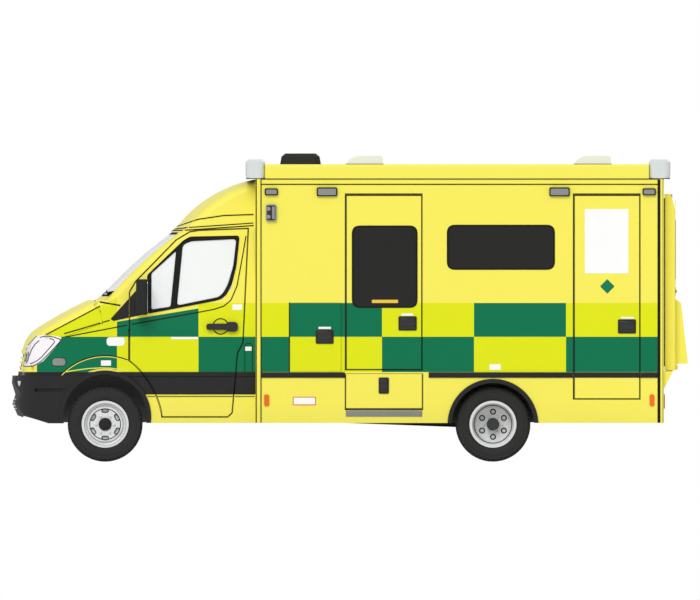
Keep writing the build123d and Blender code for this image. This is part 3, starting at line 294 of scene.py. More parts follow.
def boxLivery(tree, place, facing, outward):
    x, y, z = place
    faces, square, shut = boxFaces, boxFaces["square"], boxFaces["shut"]
    offCentre = calc(tree, "ABSOLUTE", y)
    onSide = calc(tree, "GREATER_THAN", outward, square)
    nearWall = calc(tree, "GREATER_THAN", offCentre, faces["wall"])
    colour = paleYellow
    for rear, front, low, high, shade in boxSquares():
        mask = allOf(tree, within(tree, x, rear, front), within(tree, z, low, high), onSide, nearWall)
        colour = blendColour(tree, mask, colour, shade)
    # shut faces of the doors are painted rubber black: painted shade that darkens the door gaps
    shutFace = calc(tree, "LESS_THAN", calc(tree, "ABSOLUTE", facing[1]), shut)
    leftHalf = calc(tree, "GREATER_THAN", y, faces["leftWall"])
    for rear, front, low, high in faces["doors"]:
        mask = allOf(tree, within(tree, x, rear, front), within(tree, z, low, high), shutFace, leftHalf)
        colour = blendColour(tree, mask, colour, rubberBlack)
    # white linings: side walls, front wall, back doors and roof
    behindSkin = calc(tree, "LESS_THAN", offCentre, faces["skinInside"])
    facesRear = calc(tree, "LESS_THAN", facing[0], -square)
    facesFront = calc(tree, "GREATER_THAN", facing[0], square)
    facesDown = calc(tree, "LESS_THAN", facing[2], -square)
    for mask in (
        (calc(tree, "LESS_THAN", outward, -shut), calc(tree, "GREATER_THAN", x, faces["rearInside"])),
        (facesRear, calc(tree, "GREATER_THAN", x, faces["frontWall"]), behindSkin),
        (facesFront, calc(tree, "LESS_THAN", x, faces["backDoors"]), behindSkin),
        (facesDown, calc(tree, "GREATER_THAN", z, faces["roof"]), within(tree, x, *faces["roofX"]),
         behindSkin),
    ):
        colour = blendColour(tree, allOf(tree, *mask), colour, panelWhite)
    # grey bulkhead behind the cab's seats
    inCab = calc(tree, "LESS_THAN", offCentre, faces["cab"])
    upright = within(tree, x, *faces["bulkheadX"])
    bulkhead = allOf(tree, facesFront, upright, within(tree, z, *faces["bulkheadZ"]), inCab)
    return blendColour(tree, bulkhead, colour, cabGrey)


cabLines = {
    "rear": 0.88,
    "rearSplit": 1.4307,
    "frontSplit": 2.2009,
    "nose": 2.958,
    "creaseTop": 1.6,
    "creaseStart": (2.8831, 1.1954),
    "creaseSlope": -0.530,
    "waistStart": (2.1999, 1.323),
    "waistSlope": -0.163,
    "sillTrim": (0.636, 0.848),
    "archCentre": (2.313, 0.427),
    "archLine": (0.434, 0.452),
    "shut": 0.04,
    "shutHalf": 0.72,
    "shutTop": 2.215,
    "inside": -0.25,
    "header": -0.4,
    "headerX": (1.2, 2.35),
    "headerZ": (1.2, 2.3),
}


def cabLivery(tree, place, facing, outward):
    x, y, z = place
    lines = cabLines
    top, middle, bottom = squareRows["top"], squareRows["middle"], squareRows["bottom"]
    parts = ("rear", "rearSplit", "frontSplit", "nose")
    rear, rearSplit, frontSplit, nose = (lines[part] for part in parts)
    limits = []
    for part in ("crease", "waist"):
        (startX, startZ), slope = lines[f"{part}Start"], lines[f"{part}Slope"]
        limits.append(calc(tree, "LESS_THAN", z,
                           calc(tree, "MULTIPLY_ADD", x, slope, startZ - slope * startX)))
    underCrease, underWaist = limits
    colour = paleYellow
    for back, front, low, high, limit, shade in (
        (frontSplit, lines["creaseStart"][0], middle, lines["creaseTop"], underCrease, limeSquare),
        (rearSplit, frontSplit, middle, top, underWaist, greenSquare),
        (rear, rearSplit, middle, top, None, limeSquare),
        (frontSplit, nose, bottom, middle, None, greenSquare),
        (rearSplit, frontSplit, bottom, middle, None, limeSquare),
        (rear, rearSplit, bottom, middle, None, greenSquare),
    ):
        mask = allOf(tree, within(tree, x, back, front), within(tree, z, low, high))
        if limit is not None:
            mask = allOf(tree, mask, limit)
        colour = blendColour(tree, mask, colour, shade)
    # pale line round the front arch
    fromAxle = calc(tree, "SUBTRACT", x, lines["archCentre"][0])
    aboveAxle = calc(tree, "SUBTRACT", z, lines["archCentre"][1])
    reach = calc(tree, "SQRT", calc(
        tree, "ADD", calc(tree, "MULTIPLY", fromAxle, fromAxle),
        calc(tree, "MULTIPLY", aboveAxle, aboveAxle)))
    colour = blendColour(tree, within(tree, reach, *lines["archLine"]), colour, paleYellow)
    # black sill trim; rubber black on the shut faces, painted shade that darkens the shut lines; plain trim
    # inside
    colour = blendColour(tree, within(tree, z, *lines["sillTrim"]), colour, blackTrim)
    shutFace = calc(tree, "LESS_THAN", calc(tree, "ABSOLUTE", facing[1]), lines["shut"])
    wide = calc(tree, "GREATER_THAN", calc(tree, "ABSOLUTE", y), lines["shutHalf"])
    lowEnough = calc(tree, "LESS_THAN", z, lines["shutTop"])
    colour = blendColour(tree, allOf(tree, shutFace, wide, lowEnough), colour, rubberBlack)
    header = allOf(tree, calc(tree, "LESS_THAN", facing[0], lines["header"]),
                   within(tree, x, *lines["headerX"]), within(tree, z, *lines["headerZ"]))
    for inside in (calc(tree, "LESS_THAN", outward, lines["inside"]), header):
        colour = blendColour(tree, inside, colour, cabGrey)
    return colour


cabPaint = paintFinish("cabPaint", cabLivery)
boxPaint = paintFinish("boxPaint", boxLivery)
yellowPaint = paintFinish("yellowPaint", lambda tree, place, facing, outward: paleYellow)
mouldedBlack = plainFinish("mouldedBlack", blackTrim, roughness=0.62, grain=0.25, grainSize=420, drift=0.1)
sealRubber = plainFinish("sealRubber", rubberBlack, roughness=0.7, grain=0.15, grainSize=500)
glossBlack = plainFinish("glossBlack", linear(40, 40, 41), roughness=0.28, grain=0.02, coat=0.4)
tyreRubber = plainFinish("tyreRubber", linear(46, 46, 46), roughness=0.8, grain=0.3, grainSize=350,
                         drift=0.15)
# wheel silver is the wheels' own pale grey set lighter, painted light so their shaded dishes still read pale
wheelSilver = plainFinish("wheelSilver", linear(226, 227, 228), roughness=0.36, grain=0.06, metallic=0.1,
                          coat=0.2)
hubBlack = plainFinish("hubBlack", linear(34, 34, 35), roughness=0.5, grain=0.1)
chassisBlack = plainFinish("chassisBlack", linear(58, 59, 61), roughness=0.55, grain=0.12, drift=0.2)
castIron = plainFinish("castIron", linear(112, 113, 115), roughness=0.6, grain=0.4, grainSize=260,
                       metallic=0.6, drift=0.2)
exhaustSteel = plainFinish("exhaustSteel", linear(142, 134, 124), roughness=0.5, grain=0.2, metallic=0.7,
                           drift=0.25)
# liner grey is much lighter than the liners' dark plastic: painted light that lifts the shade inside the
# wheel arches
linerGrey = plainFinish("linerGrey", linear(118, 118, 119), roughness=0.75, grain=0.25, grainSize=300)
tankPlastic = plainFinish("tankPlastic", linear(52, 53, 54), roughness=0.55, grain=0.2)
floorVinyl = plainFinish("floorVinyl", linear(92, 96, 100), roughness=0.65, grain=0.4, grainSize=180,
                         drift=0.12)
dashPlastic = plainFinish("dashPlastic", linear(78, 80, 84), roughness=0.6, grain=0.3, grainSize=380)
# the cab glass is painted near white and glows faintly: a painted sky reflection, and a glow though the
# glass is no lamp
cabGlass = plainFinish("cabGlass", linear(250, 252, 252), roughness=0.04, grain=0.0, alpha=0.66, glow=0.10,
                       glossSpread=0.02, drift=0.01)
saloonGlass = plainFinish("saloonGlass", linear(27, 26, 25), roughness=0.12, grain=0.0, coat=0.3,
                          glossSpread=0.04)
headlampGlass = plainFinish("headlampGlass", linear(249, 244, 248), roughness=0.12, grain=0.04,
                            grainSize=60, coat=0.8)
lampGrey = plainFinish("lampGrey", linear(138, 140, 139), roughness=0.2, grain=0.25, grainSize=120,
                       coat=0.6)
lampAmber = plainFinish("lampAmber", linear(236, 108, 9), roughness=0.18, grain=0.15, grainSize=120,
                        coat=0.6)
lampRed = plainFinish("lampRed", linear(196, 24, 22), roughness=0.18, grain=0.15, grainSize=120, coat=0.6)
barWhite = plainFinish("barWhite", linear(214, 220, 218), roughness=0.3, grain=0.05, coat=0.3)
ventWhite = plainFinish("ventWhite", linear(232, 238, 255), roughness=0.4, grain=0.05)
steelPin = plainFinish("steelPin", linear(48, 48, 49), roughness=0.4, metallic=0.3)
stepGrey = plainFinish("stepGrey", linear(140, 143, 136), roughness=0.45, metallic=0.4, grain=0.2,
                       grainSize=150)
signWhite = plainFinish("signWhite", linear(250, 250, 249), roughness=0.45, grain=0.02)
seatCloth = plainFinish("seatCloth", linear(74, 82, 96), roughness=0.9, grain=0.5, grainSize=600, drift=0.2)

nodeFinish = {
    cabPaint: ["cab_frame", "cab_door_left", "cab_door_right", "front_wings", "cab_roof", "bonnet"],
    boxPaint: [
        "box_left_wall", "box_right_wall", "box_front_wall", "box_rear_frame", "box_roof", "side_door",
        "front_locker_door", "rear_locker_door", "step_flap", "rear_door_left", "rear_door_right",
    ],
    mouldedBlack: [
        "front_bumper", "wheel_arch_flares", "grille", "cab_mirror_left", "cab_mirror_right", "roof_dome",
    ],
    tyreRubber: ["front_left_tyre", "front_right_tyre", "rear_left_tyres", "rear_right_tyres"],
    wheelSilver: ["front_left_rim", "front_right_rim", "rear_left_rims", "rear_right_rims"],
    chassisBlack: ["chassis_frame", "front_suspension", "rear_axle"],
    castIron: ["front_knuckle_left", "front_knuckle_right", "engine"],
    exhaustSteel: ["exhaust"],
    tankPlastic: ["fuel_tank"],
    floorVinyl: ["cab_floor", "box_floor"],
    dashPlastic: ["dashboard"],
    seatCloth: ["cab_seats"],
    cabGlass: ["cab_door_left_glass", "cab_door_right_glass", "windscreen"],
    saloonGlass: ["box_windows", "side_door_glass", "rear_door_left_glass", "rear_door_right_glass"],
    headlampGlass: ["headlamps"],
    lampGrey: ["side_lamps", "side_inlet"],
    lampAmber: ["marker_lamps"],
    lampRed: ["rear_lamps"],
    barWhite: ["light_bars"],
    ventWhite: ["roof_vents"],
    steelPin: ["hinge_pins"],
}
for finish, names in nodeFinish.items():
    for name in names:
        materials = nodes[name].data.materials
        materials.clear()
        materials.append(finish)
unfinished = set(nodes) - {name for names in nodeFinish.values() for name in names}
print("finishes set; nodes without one:", sorted(unfinished))

# building helpers for the added pieces
def shadeByAngle(bm, limit=0.6):
    for face in bm.faces:
        face.smooth = True
    for edge in bm.edges:
        edge.smooth = len(edge.link_faces) == 2 and edge.calc_face_angle() < limit


def addPiece(name, bm, finish, body, limit=0.6):
    bmesh.ops.remove_doubles(bm, verts=bm.verts, dist=1e-6)
    bmesh.ops.recalc_face_normals(bm, faces=bm.faces)
    shadeByAngle(bm, limit)
    mesh = bpy.data.meshes.new(name)
    bm.to_mesh(mesh)
    bm.free()
    mesh.materials.append(finish)
    piece = bpy.data.objects.new(name, mesh)
    scene.collection.objects.link(piece)
    if body:
        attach(piece, body)
    return piece


def addBlock(bm, xRange, yRange, zRange, edge=0.0, segments=2):
    start = bmesh.ops.create_cube(bm, size=1)["verts"]
    for vert in start:
        vert.co = [
            low + (part + 0.5) * (high - low)
            for part, (low, high) in zip(vert.co, (xRange, yRange, zRange))
        ]
    if edge:
        edges = list({item for vert in start for item in vert.link_edges})
        bmesh.ops.bevel(bm, geom=edges, offset=edge, segments=segments, profile=0.5, affect="EDGES")


def roundCorners(points, radius, steps=4):
    rounded = []
    for place, corner in enumerate(points):
        here = Vector(corner)
        before = Vector(points[place - 1]) - here
        after = Vector(points[(place + 1) % len(points)]) - here
        cut = min(radius, before.length * 0.45, after.length * 0.45)
        first = here + before.normalized() * cut
        last = here + after.normalized() * cut
        for step in range(steps + 1):
            part = step / steps
            rounded.append(tuple(first.lerp(here, part).lerp(here.lerp(last, part), part)))
    return rounded


def boxOutline(corners, radius=0.0):
    (left, top), (right, bottom) = sidePoints(*corners)
    points = [(left, top), (right, top), (right, bottom), (left, bottom)]
    return roundCorners(points, radius) if radius else points


def bar(xLow, xHigh, zLow, zHigh):
    return [(xHigh, zHigh), (xLow, zHigh), (xLow, zLow), (xHigh, zLow)]


def ribbon(points, width):
    left, right = [], []
    for place, point in enumerate(points):
        here = Vector(point)
        ahead = Vector(points[min(place + 1, len(points) - 1)])
        behind = Vector(points[max(place - 1, 0)])
        along = (ahead - behind).normalized()
        across = Vector((-along.y, along.x)) * width / 2
        left.append(tuple(here + across))
        right.append(tuple(here - across))
    return left + right[::-1]


def insetLoop(points, distance):
    # moves a closed outline inwards
    area = sum(a[0] * b[1] - b[0] * a[1] for a, b in zip(points, points[1:] + points[:1]))
    turn = distance if area > 0 else -distance
    moved = []
    for place, point in enumerate(points):
        here = Vector(point)
        along = (here - Vector(points[place - 1])).normalized()
        ahead = (Vector(points[(place + 1) % len(points)]) - here).normalized()
        inward = Vector((-along.y - ahead.y, along.x + ahead.x)).normalized()
        moved.append(tuple(here + inward * turn / max(0.5, inward.dot(Vector((-along.y, along.x))))))
    return moved


def arcPoints(centre, radius, start, end, steps):
    angles = [start + (end - start) * step / steps for step in range(steps + 1)]
    return [
        (centre[0] + radius * math.cos(angle), centre[1] + radius * math.sin(angle)) for angle in angles
    ]


def flatTriangles(outline, holes, step):
    points, faces, edges = [], [], []
    for loop in (outline, *holes):
        turned = sum(a[0] * b[1] - b[0] * a[1] for a, b in zip(loop, loop[1:] + loop[:1])) < 0
        loop = loop[::-1] if turned else loop
        faces.append(list(range(len(points), len(points) + len(loop))))
        points += [Vector(point) for point in loop]
    for axis in (0, 1):
        low, high = min(p[axis] for p in outline), max(p[axis] for p in outline)
        otherLow, otherHigh = min(p[1 - axis] for p in outline), max(p[1 - axis] for p in outline)
        count = int((high - low) / step)
        for line in range(1, count + 1):
            value = low + (high - low) * line / (count + 1)
            ends = [(value, otherLow - 0.01), (value, otherHigh + 0.01)]
            edges.append((len(points), len(points) + 1))
            points += [Vector(end if axis == 0 else end[::-1]) for end in ends]
    corners, _, triangles, _, _, sources = delaunay_2d_cdt(points, edges, faces, 0, 1e-6)
    kept = [
        triangle for triangle, source in zip(triangles, sources)
        if 0 in source and not any(hole in source for hole in range(1, len(holes) + 1))
    ]
    return corners, kept


# a flat plate between two depths along one axis; its outline lies in the other two
def flatPlate(bm, outline, axis, depths, holes=()):
    corners, triangles = flatTriangles(outline, holes, 5)
    layers = []
    for depth in depths:
        layer = {}
        for index in sorted({index for triangle in triangles for index in triangle}):
            place = [corners[index][0], corners[index][0], corners[index][1]]
            place[axis] = depth
            layer[index] = bm.verts.new(place)
        layers.append(layer)
    borders = {}
    for triangle in triangles:
        for layer in layers:
            bm.faces.new([layer[index] for index in triangle])
        for first, second in zip(triangle, triangle[1:] + triangle[:1]):
            key = (min(first, second), max(first, second))
            borders[key] = borders.get(key, 0) + 1
    for (first, second), count in borders.items():
        if count == 1:
            bm.faces.new((layers[0][first], layers[0][second], layers[1][second], layers[1][first]))


carrierTrees = {}


def carrierTree(names):
    key = tuple(names)
    if key not in carrierTrees:
        points, faces = [], []
        for name in names:
            start, mesh = len(points), nodes[name].data
            points += [vert.co.copy() for vert in mesh.vertices]
            faces += [[start + index for index in polygon.vertices] for polygon in mesh.polygons]
        carrierTrees[key] = BVHTree.FromPolygons(points, faces)
    return carrierTrees[key]


# casts start well clear of the object; near is about where the skin lies along each axis
castSpec = {"start": 8.0, "near": (3.3, 1.15), "farSide": 0.4}


# where the skin lies, looking along one axis
# view gives the axis, the end it looks from, and inside if it looks outwards
def skinDepth(tree, across, up, view):
    axis, end, *inside = view
    start, towards, near = Vector((across, across, up)), Vector((0, 0, 0)), Vector((across, across, up))
    start[axis], towards[axis] = castSpec["start"] * end, -end
    near[axis] = castSpec["near"][axis] * end
    hit = tree.ray_cast(start, towards)[0]
    if hit is None or (not inside and hit[axis] * end < castSpec["farSide"]):
        hit = tree.find_nearest(near)[0]
    return hit[axis]


leftSide, rightSide, frontEnd, rearEnd = (1, 1), (1, -1), (0, 1), (0, -1)
leftInside, rightInside = (1, -1, "inside"), (1, 1, "inside")
sides = {"left": 1, "right": -1}
sideViews = {"left": leftSide, "right": rightSide}


# a thin shell that follows the skin under a side (or end) view outline
def skinShell(bm, outline, carriers, proud, sink=0.004, holes=(), view=leftSide, step=0.1, edge=0.0):
    tree = carrierTree(carriers)
    axis, end = view[:2]
    corners, triangles = flatTriangles(outline, holes, step)
    used = sorted({index for triangle in triangles for index in triangle})
    top, base = {}, {}
    for index in used:
        across, up = corners[index]
        depth = skinDepth(tree, across, up, view)
        for verts, offset in ((top, proud), (base, -sink)):
            place = [across, across, up]
            place[axis] = depth + end * offset
            verts[index] = bm.verts.new(place)
    counts, rimEdges = {}, []
    for triangle in triangles:
        bm.faces.new([top[index] for index in triangle])
        bm.faces.new([base[index] for index in reversed(triangle)])
        for first, second in zip(triangle, triangle[1:] + triangle[:1]):
            key = (min(first, second), max(first, second))
            counts[key] = counts.get(key, 0) + 1
    for (first, second), count in counts.items():
        if count == 1:
            bm.faces.new([top[first], base[first], base[second], top[second]])
            rimEdges.append(bm.edges.get((top[first], top[second])))
    if edge:
        bmesh.ops.bevel(bm, geom=rimEdges, offset=edge, segments=2, profile=0.5, affect="EDGES")


# how far lines and beads stand out, and the grid of a shell on a flat face
lineProud, beadProud, flatStep = 0.0025, 0.003, 3


# one named trim piece from several outlines; each row: outline, carriers, view
def trimPiece(name, rows, finish, body, slotName, proud=0.006, **shell):
    bm = bmesh.new()
    for outline, carriers, view in rows:
        skinShell(bm, outline, carriers, proud, view=view, **shell)
    return addPiece(name, bm, finish, body)


# one Geometry Nodes tree repeats a piece along a row or round a ring
def makeRepeatTree():
    tree = bpy.data.node_groups.new("repeatPiece", "GeometryNodeTree")
    sockets = {}
    for socketName, kind in (
        ("Geometry", "NodeSocketGeometry"), ("Count", "NodeSocketInt"), ("Step", "NodeSocketVector"),
        ("Turn", "NodeSocketVector"), ("Centre", "NodeSocketVector"), ("Finish", "NodeSocketMaterial"),
    ):
        sockets[socketName] = tree.interface.new_socket(socketName, in_out="INPUT", socket_type=kind)
    tree.interface.new_socket("Geometry", in_out="OUTPUT", socket_type="NodeSocketGeometry")
    kinds = ("NodeGroupInput", "GeometryNodePoints", "GeometryNodeInputIndex",
             "GeometryNodeInstanceOnPoints",
             "GeometryNodeRealizeInstances", "GeometryNodeMergeByDistance", "GeometryNodeSetMaterial",
             "NodeGroupOutput")
    source, points, index, instances, real, merged, finish, result = (tree.nodes.new(kind) for kind in kinds)
    scaled = []
    for name in ("Step", "Turn"):
        node = tree.nodes.new("ShaderNodeVectorMath")
        node.operation = "SCALE"
        tree.links.new(source.outputs[name], node.inputs[0])
        tree.links.new(index.outputs[0], node.inputs["Scale"])
        scaled.append(node.outputs[0])
    placed = tree.nodes.new("ShaderNodeVectorMath")
    placed.operation = "ADD"
    tree.links.new(scaled[0], placed.inputs[0])
    tree.links.new(source.outputs["Centre"], placed.inputs[1])
    tree.links.new(source.outputs["Count"], points.inputs["Count"])
    tree.links.new(placed.outputs[0], points.inputs["Position"])
    tree.links.new(points.outputs[0], instances.inputs["Points"])
    tree.links.new(source.outputs["Geometry"], instances.inputs["Instance"])
    tree.links.new(scaled[1], instances.inputs["Rotation"])
    tree.links.new(instances.outputs[0], real.inputs[0])
    tree.links.new(real.outputs[0], merged.inputs["Geometry"])
    merged.inputs["Distance"].default_value = 1e-5
    tree.links.new(merged.outputs[0], finish.inputs["Geometry"])
    tree.links.new(source.outputs["Finish"], finish.inputs["Material"])
    tree.links.new(finish.outputs[0], result.inputs[0])
    return tree, {name: socket.identifier for name, socket in sockets.items()}


repeatTree, repeatSockets = makeRepeatTree()


# repeats the shape in bm and returns the result as a plain mesh inside a new bmesh
def repeatShape(bm, finish, count, step=(0, 0, 0), turn=(0, 0, 0), centre=(0, 0, 0)):
    mesh = bpy.data.meshes.new("repeatSource")
    bm.to_mesh(mesh)
    bm.free()
    holder = bpy.data.objects.new("repeatSource", mesh)
    scene.collection.objects.link(holder)
    modifier = holder.modifiers.new("repeat", "NODES")
    modifier.node_group = repeatTree
    for name, value in (("Count", count), ("Step", step), ("Turn", turn), ("Centre", centre),
                        ("Finish", finish)):
        modifier[repeatSockets[name]] = value
    baked = bpy.data.meshes.new_from_object(holder.evaluated_get(bpy.context.evaluated_depsgraph_get()))
    bpy.data.objects.remove(holder)
    result = bmesh.new()
    result.from_mesh(baked)
    bpy.data.meshes.remove(baked)
    return result


def joinShape(bm, other):
    mesh = bpy.data.meshes.new("joined")
    other.to_mesh(mesh)
    other.free()
    bm.from_mesh(mesh)
    bpy.data.meshes.remove(mesh)


# wheels: road tread from one pitch repeated round the axle, hub caps and nuts
wheelSpec = {
    "radius": 0.354, "pitches": 52, "grooveDepth": 0.008, "grooveWidth": 0.010,
    "cut": ((0.0, False), (0.03, True), (0.2, True), (0.23, False), (0.62, False), (1.0, False)),
    "frontX": 2.313, "rearX": -1.352, "frontY": 0.868, "rearY": (0.925, 0.700),
    "frontWidth": 0.235, "rearWidth": 0.205, "shoulder": 0.032, "grooves": (0.7, 0.25, -0.25, -0.7),
    "lug": 0.7,
    # side wall; columns: inset from the tyre's side, radius, whether the shoulder cuts reach it
    "wall": (
        (0.029, 0.2085, 0), (0.027, 0.226, 0), (0.013, 0.236, 0), (0.011, 0.240, 0), (0.005, 0.254, 0),
        (0, 0.279, 0), (0.001, 0.292, 0), (0.005, 0.298, 0), (0.005, 0.302, 0), (0.006, 0.327, 0),
        (0.010, 0.333, 1), (0.020, 0.346, 1), (0.032, 0.354, 1),
    ),
}


# columns: place across the tyre, radius, whether the shoulder cuts reach it
def tyreProfile(width):
    half, radius, depth = width / 2, wheelSpec["radius"], wheelSpec["grooveDepth"]
    wall = [(half - inset, r, cut) for inset, r, cut in wheelSpec["wall"]]
    tread = half - wheelSpec["shoulder"]
    ribs = []
    for share in wheelSpec["grooves"]:
        centre, wide = tread * share, wheelSpec["grooveWidth"] / 2
        for offset, drop in ((wide, 0), (wide * 0.7, depth), (-wide * 0.7, depth), (-wide, 0)):
            lug = abs(centre + offset) > tread * wheelSpec["lug"] and not drop
            ribs.append((centre + offset, radius - drop, int(lug)))
    return wall + ribs + [(-across, r, cut) for across, r, cut in reversed(wall)]


def tyreShape(axleX, wheelY, width):
    bm = bmesh.new()
    profile = tyreProfile(width)
    pitch = 2 * math.pi / wheelSpec["pitches"]
    rings = []
    for part, cut in wheelSpec["cut"]:
        angle = part * pitch
        ring = []
        for across, radius, lug in profile:
            r = radius - (wheelSpec["grooveDepth"] if cut and lug else 0)
            ring.append(bm.verts.new((r * math.sin(angle), across, r * math.cos(angle))))
        rings.append(ring)
    for first, second in zip(rings, rings[1:]):
        for place in range(len(profile)):
            after = (place + 1) % len(profile)
            bm.faces.new((first[place], first[after], second[after], second[place]))
    centre = (axleX, wheelY, wheelSpec["radius"])
    return repeatShape(bm, tyreRubber, wheelSpec["pitches"], turn=(0, pitch, 0), centre=centre)


def latheShape(profile, axleX, faceY, axleZ, side, steps=40):
    bm = bmesh.new()
    rings = []
    for radius, reach in profile:
        if radius < 1e-5:
            rings.append([bm.verts.new((axleX, faceY + side * reach, axleZ))] * steps)
            continue
        rings.append([
            bm.verts.new((
                axleX + radius * math.cos(2 * math.pi * step / steps), faceY + side * reach,
                axleZ + radius * math.sin(2 * math.pi * step / steps),
            )) for step in range(steps)
        ])
    for first, second in zip(rings, rings[1:]):
        for step in range(steps):
            after = (step + 1) % steps
            corners = list(dict.fromkeys((first[step], first[after], second[after], second[step])))
            if len(corners) > 2:
                bm.faces.new(corners)
    return bm


hubSpec = {
    "cap": ((0.0, 0.0), (0.061, 0.0), (0.061, 0.010), (0.054, 0.017), (0.034, 0.019), (0.030, 0.023),
            (0.0, 0.024)),
    "rearCap": ((0.0, 0.0), (0.057, 0.0), (0.057, 0.040), (0.050, 0.050), (0.030, 0.052), (0.026, 0.056),
                (0.0, 0.057)),
    "nuts": 6, "nutRing": 0.086, "nutLean": math.pi / 6, "nutRadius": 0.013, "nutHeight": 0.016,
    "frontFace": 0.9445, "rearFace": 0.8250,
}


def nutRing(axleX, faceY, side):
    parts = ("nutRadius", "nutHeight", "nutRing", "nutLean")
    radius, height, ring, lean = (hubSpec[part] for part in parts)
    profile = ((0.0, 0.0), (radius, 0.0), (radius, height), (radius / 2, height + 0.004),
               (0.0, height + 0.004))
    bm = latheShape(profile, ring * math.sin(lean), 0, ring * math.cos(lean), side, 6)
    count = hubSpec["nuts"]
    return repeatShape(bm, wheelSilver, count, turn=(0, 2 * math.pi / count, 0),
                       centre=(axleX, faceY, wheelSpec["radius"]))


for sideName, side in sides.items():
    frontBody, rearBody = f"wheel_front_{sideName}", f"wheels_rear_{sideName}"
    frontTyre = tyreShape(wheelSpec["frontX"], side * wheelSpec["frontY"], wheelSpec["frontWidth"])
    piece = addPiece(f"frontTreadTyre_{sideName}", frontTyre, tyreRubber, frontBody, 0.5)
    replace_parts(piece, f"front_{sideName}_tyre")
    rearTyres = bmesh.new()
    for wheelY in wheelSpec["rearY"]:
        joinShape(rearTyres, tyreShape(wheelSpec["rearX"], side * wheelY, wheelSpec["rearWidth"]))
    piece = addPiece(f"rearTreadTyres_{sideName}", rearTyres, tyreRubber, rearBody, 0.5)
    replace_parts(piece, f"rear_{sideName}_tyres")
    for place, body, axleX, face, cap in (
        ("front", frontBody, wheelSpec["frontX"], hubSpec["frontFace"], hubSpec["cap"]),
        ("rear", rearBody, wheelSpec["rearX"], hubSpec["rearFace"], hubSpec["rearCap"]),
    ):
        hub = latheShape(cap, axleX, side * face, wheelSpec["radius"], side)
        addPiece(f"{place}HubCap_{sideName}", hub, hubBlack, body)
        nuts = nutRing(axleX, side * face, side)
        addPiece(f"{place}WheelNuts_{sideName}", nuts, wheelSilver, body)
print("wheels dressed")

# inner arch liners: shells that the steered tyres clear, in a grey far lighter than their dark plastic,
# painted light that lifts the shade in the arches
linerSpec = {"centre": (2.313, 0.427), "radius": 0.456, "wall": 0.006, "reach": (0.50, 0.954),
             "foot": 0.372, "steps": 28}
for sideName, side in sides.items():
    bm = bmesh.new()
    path = []
    for radius in (linerSpec["radius"], linerSpec["radius"] + linerSpec["wall"]):
        arc = arcPoints(linerSpec["centre"], radius, 0, math.pi, linerSpec["steps"])
        path.append([(arc[0][0], linerSpec["foot"]), *arc, (arc[-1][0], linerSpec["foot"])])
    loop = path[0] + path[1][::-1]
    outer, inner = ([bm.verts.new((x, side * y, z)) for x, z in loop] for y in linerSpec["reach"])
    for place in range(len(loop)):
        after = (place + 1) % len(loop)
        bm.faces.new((outer[place], outer[after], inner[after], inner[place]))
    for ends in (outer, inner):
        for place in range(len(path[0]) - 1):
            bm.faces.new((ends[place], ends[place + 1], ends[-2 - place], ends[-1 - place]))
    addPiece(f"archLiner_{sideName}", bm, linerGrey, "chassis")
print("arch liners in")

# cab sides: window rubbers with the quarter light bar, mirror sails, waist lines, creases
cabSpec = {
    "window": [
        (1.917, 1.396), (1.917, 1.764), (1.577, 2.090), (1.511, 2.128), (1.041, 2.138), (1.072, 1.851),
        (1.114, 1.680), (1.167, 1.573), (1.231, 1.528),
    ],
    "quarterGlass": sidePoints((151.5, 273.4), (176, 251.2), (170.5, 306.6), (151.5, 309.4)),
    "mainGlass": sidePoints((182.9, 244.8), (191, 241.3), (236.3, 239.1), (233.2, 265.8), (228, 283.9),
                            (223, 293), (218.4, 297), (177, 305.4)),
    "sail": sidePoints((110.5, 319), (136, 290.5), (147, 280), (147.6, 313.6), (113.5, 321)),
    "doorFrontX": 2.084, "sailGap": (0.002, 0.007), "quarterCorner": 0.02, "corner": 0.035,
    "waist": sidePoints((132, 324.3), (165, 318.3), (198, 312.4), (214, 309.3), (224, 306), (231, 300),
                        (237, 286), (242.6, 256), (246, 236)),
    "wingWaist": sidePoints((65, 337.0), (95, 331.3), (127, 325.2)),
    "bonnetCrease": sidePoints((46, 334.6), (65, 324.6), (85, 314), (100, 306)),
    "bonnetShut": sidePoints((64.3, 333.6), (85, 327.6), (100.5, 323)),
    "lineWidth": 0.010,
    "archBrow": (0.575, 0.75, 1.95),
}


def cutAtX(points, limit, keepRear):
    # keeps the part of a convex outline behind (or ahead of) an upright line
    kept = []
    for place, here in enumerate(points):
        after = points[(place + 1) % len(points)]
        isIn, afterIn = ((p[0] < limit) == keepRear for p in (here, after))
        if isIn:
            kept.append(here)
        if isIn != afterIn:
            part = (limit - here[0]) / (after[0] - here[0])
            kept.append((limit, here[1] + part * (after[1] - here[1])))
    return kept


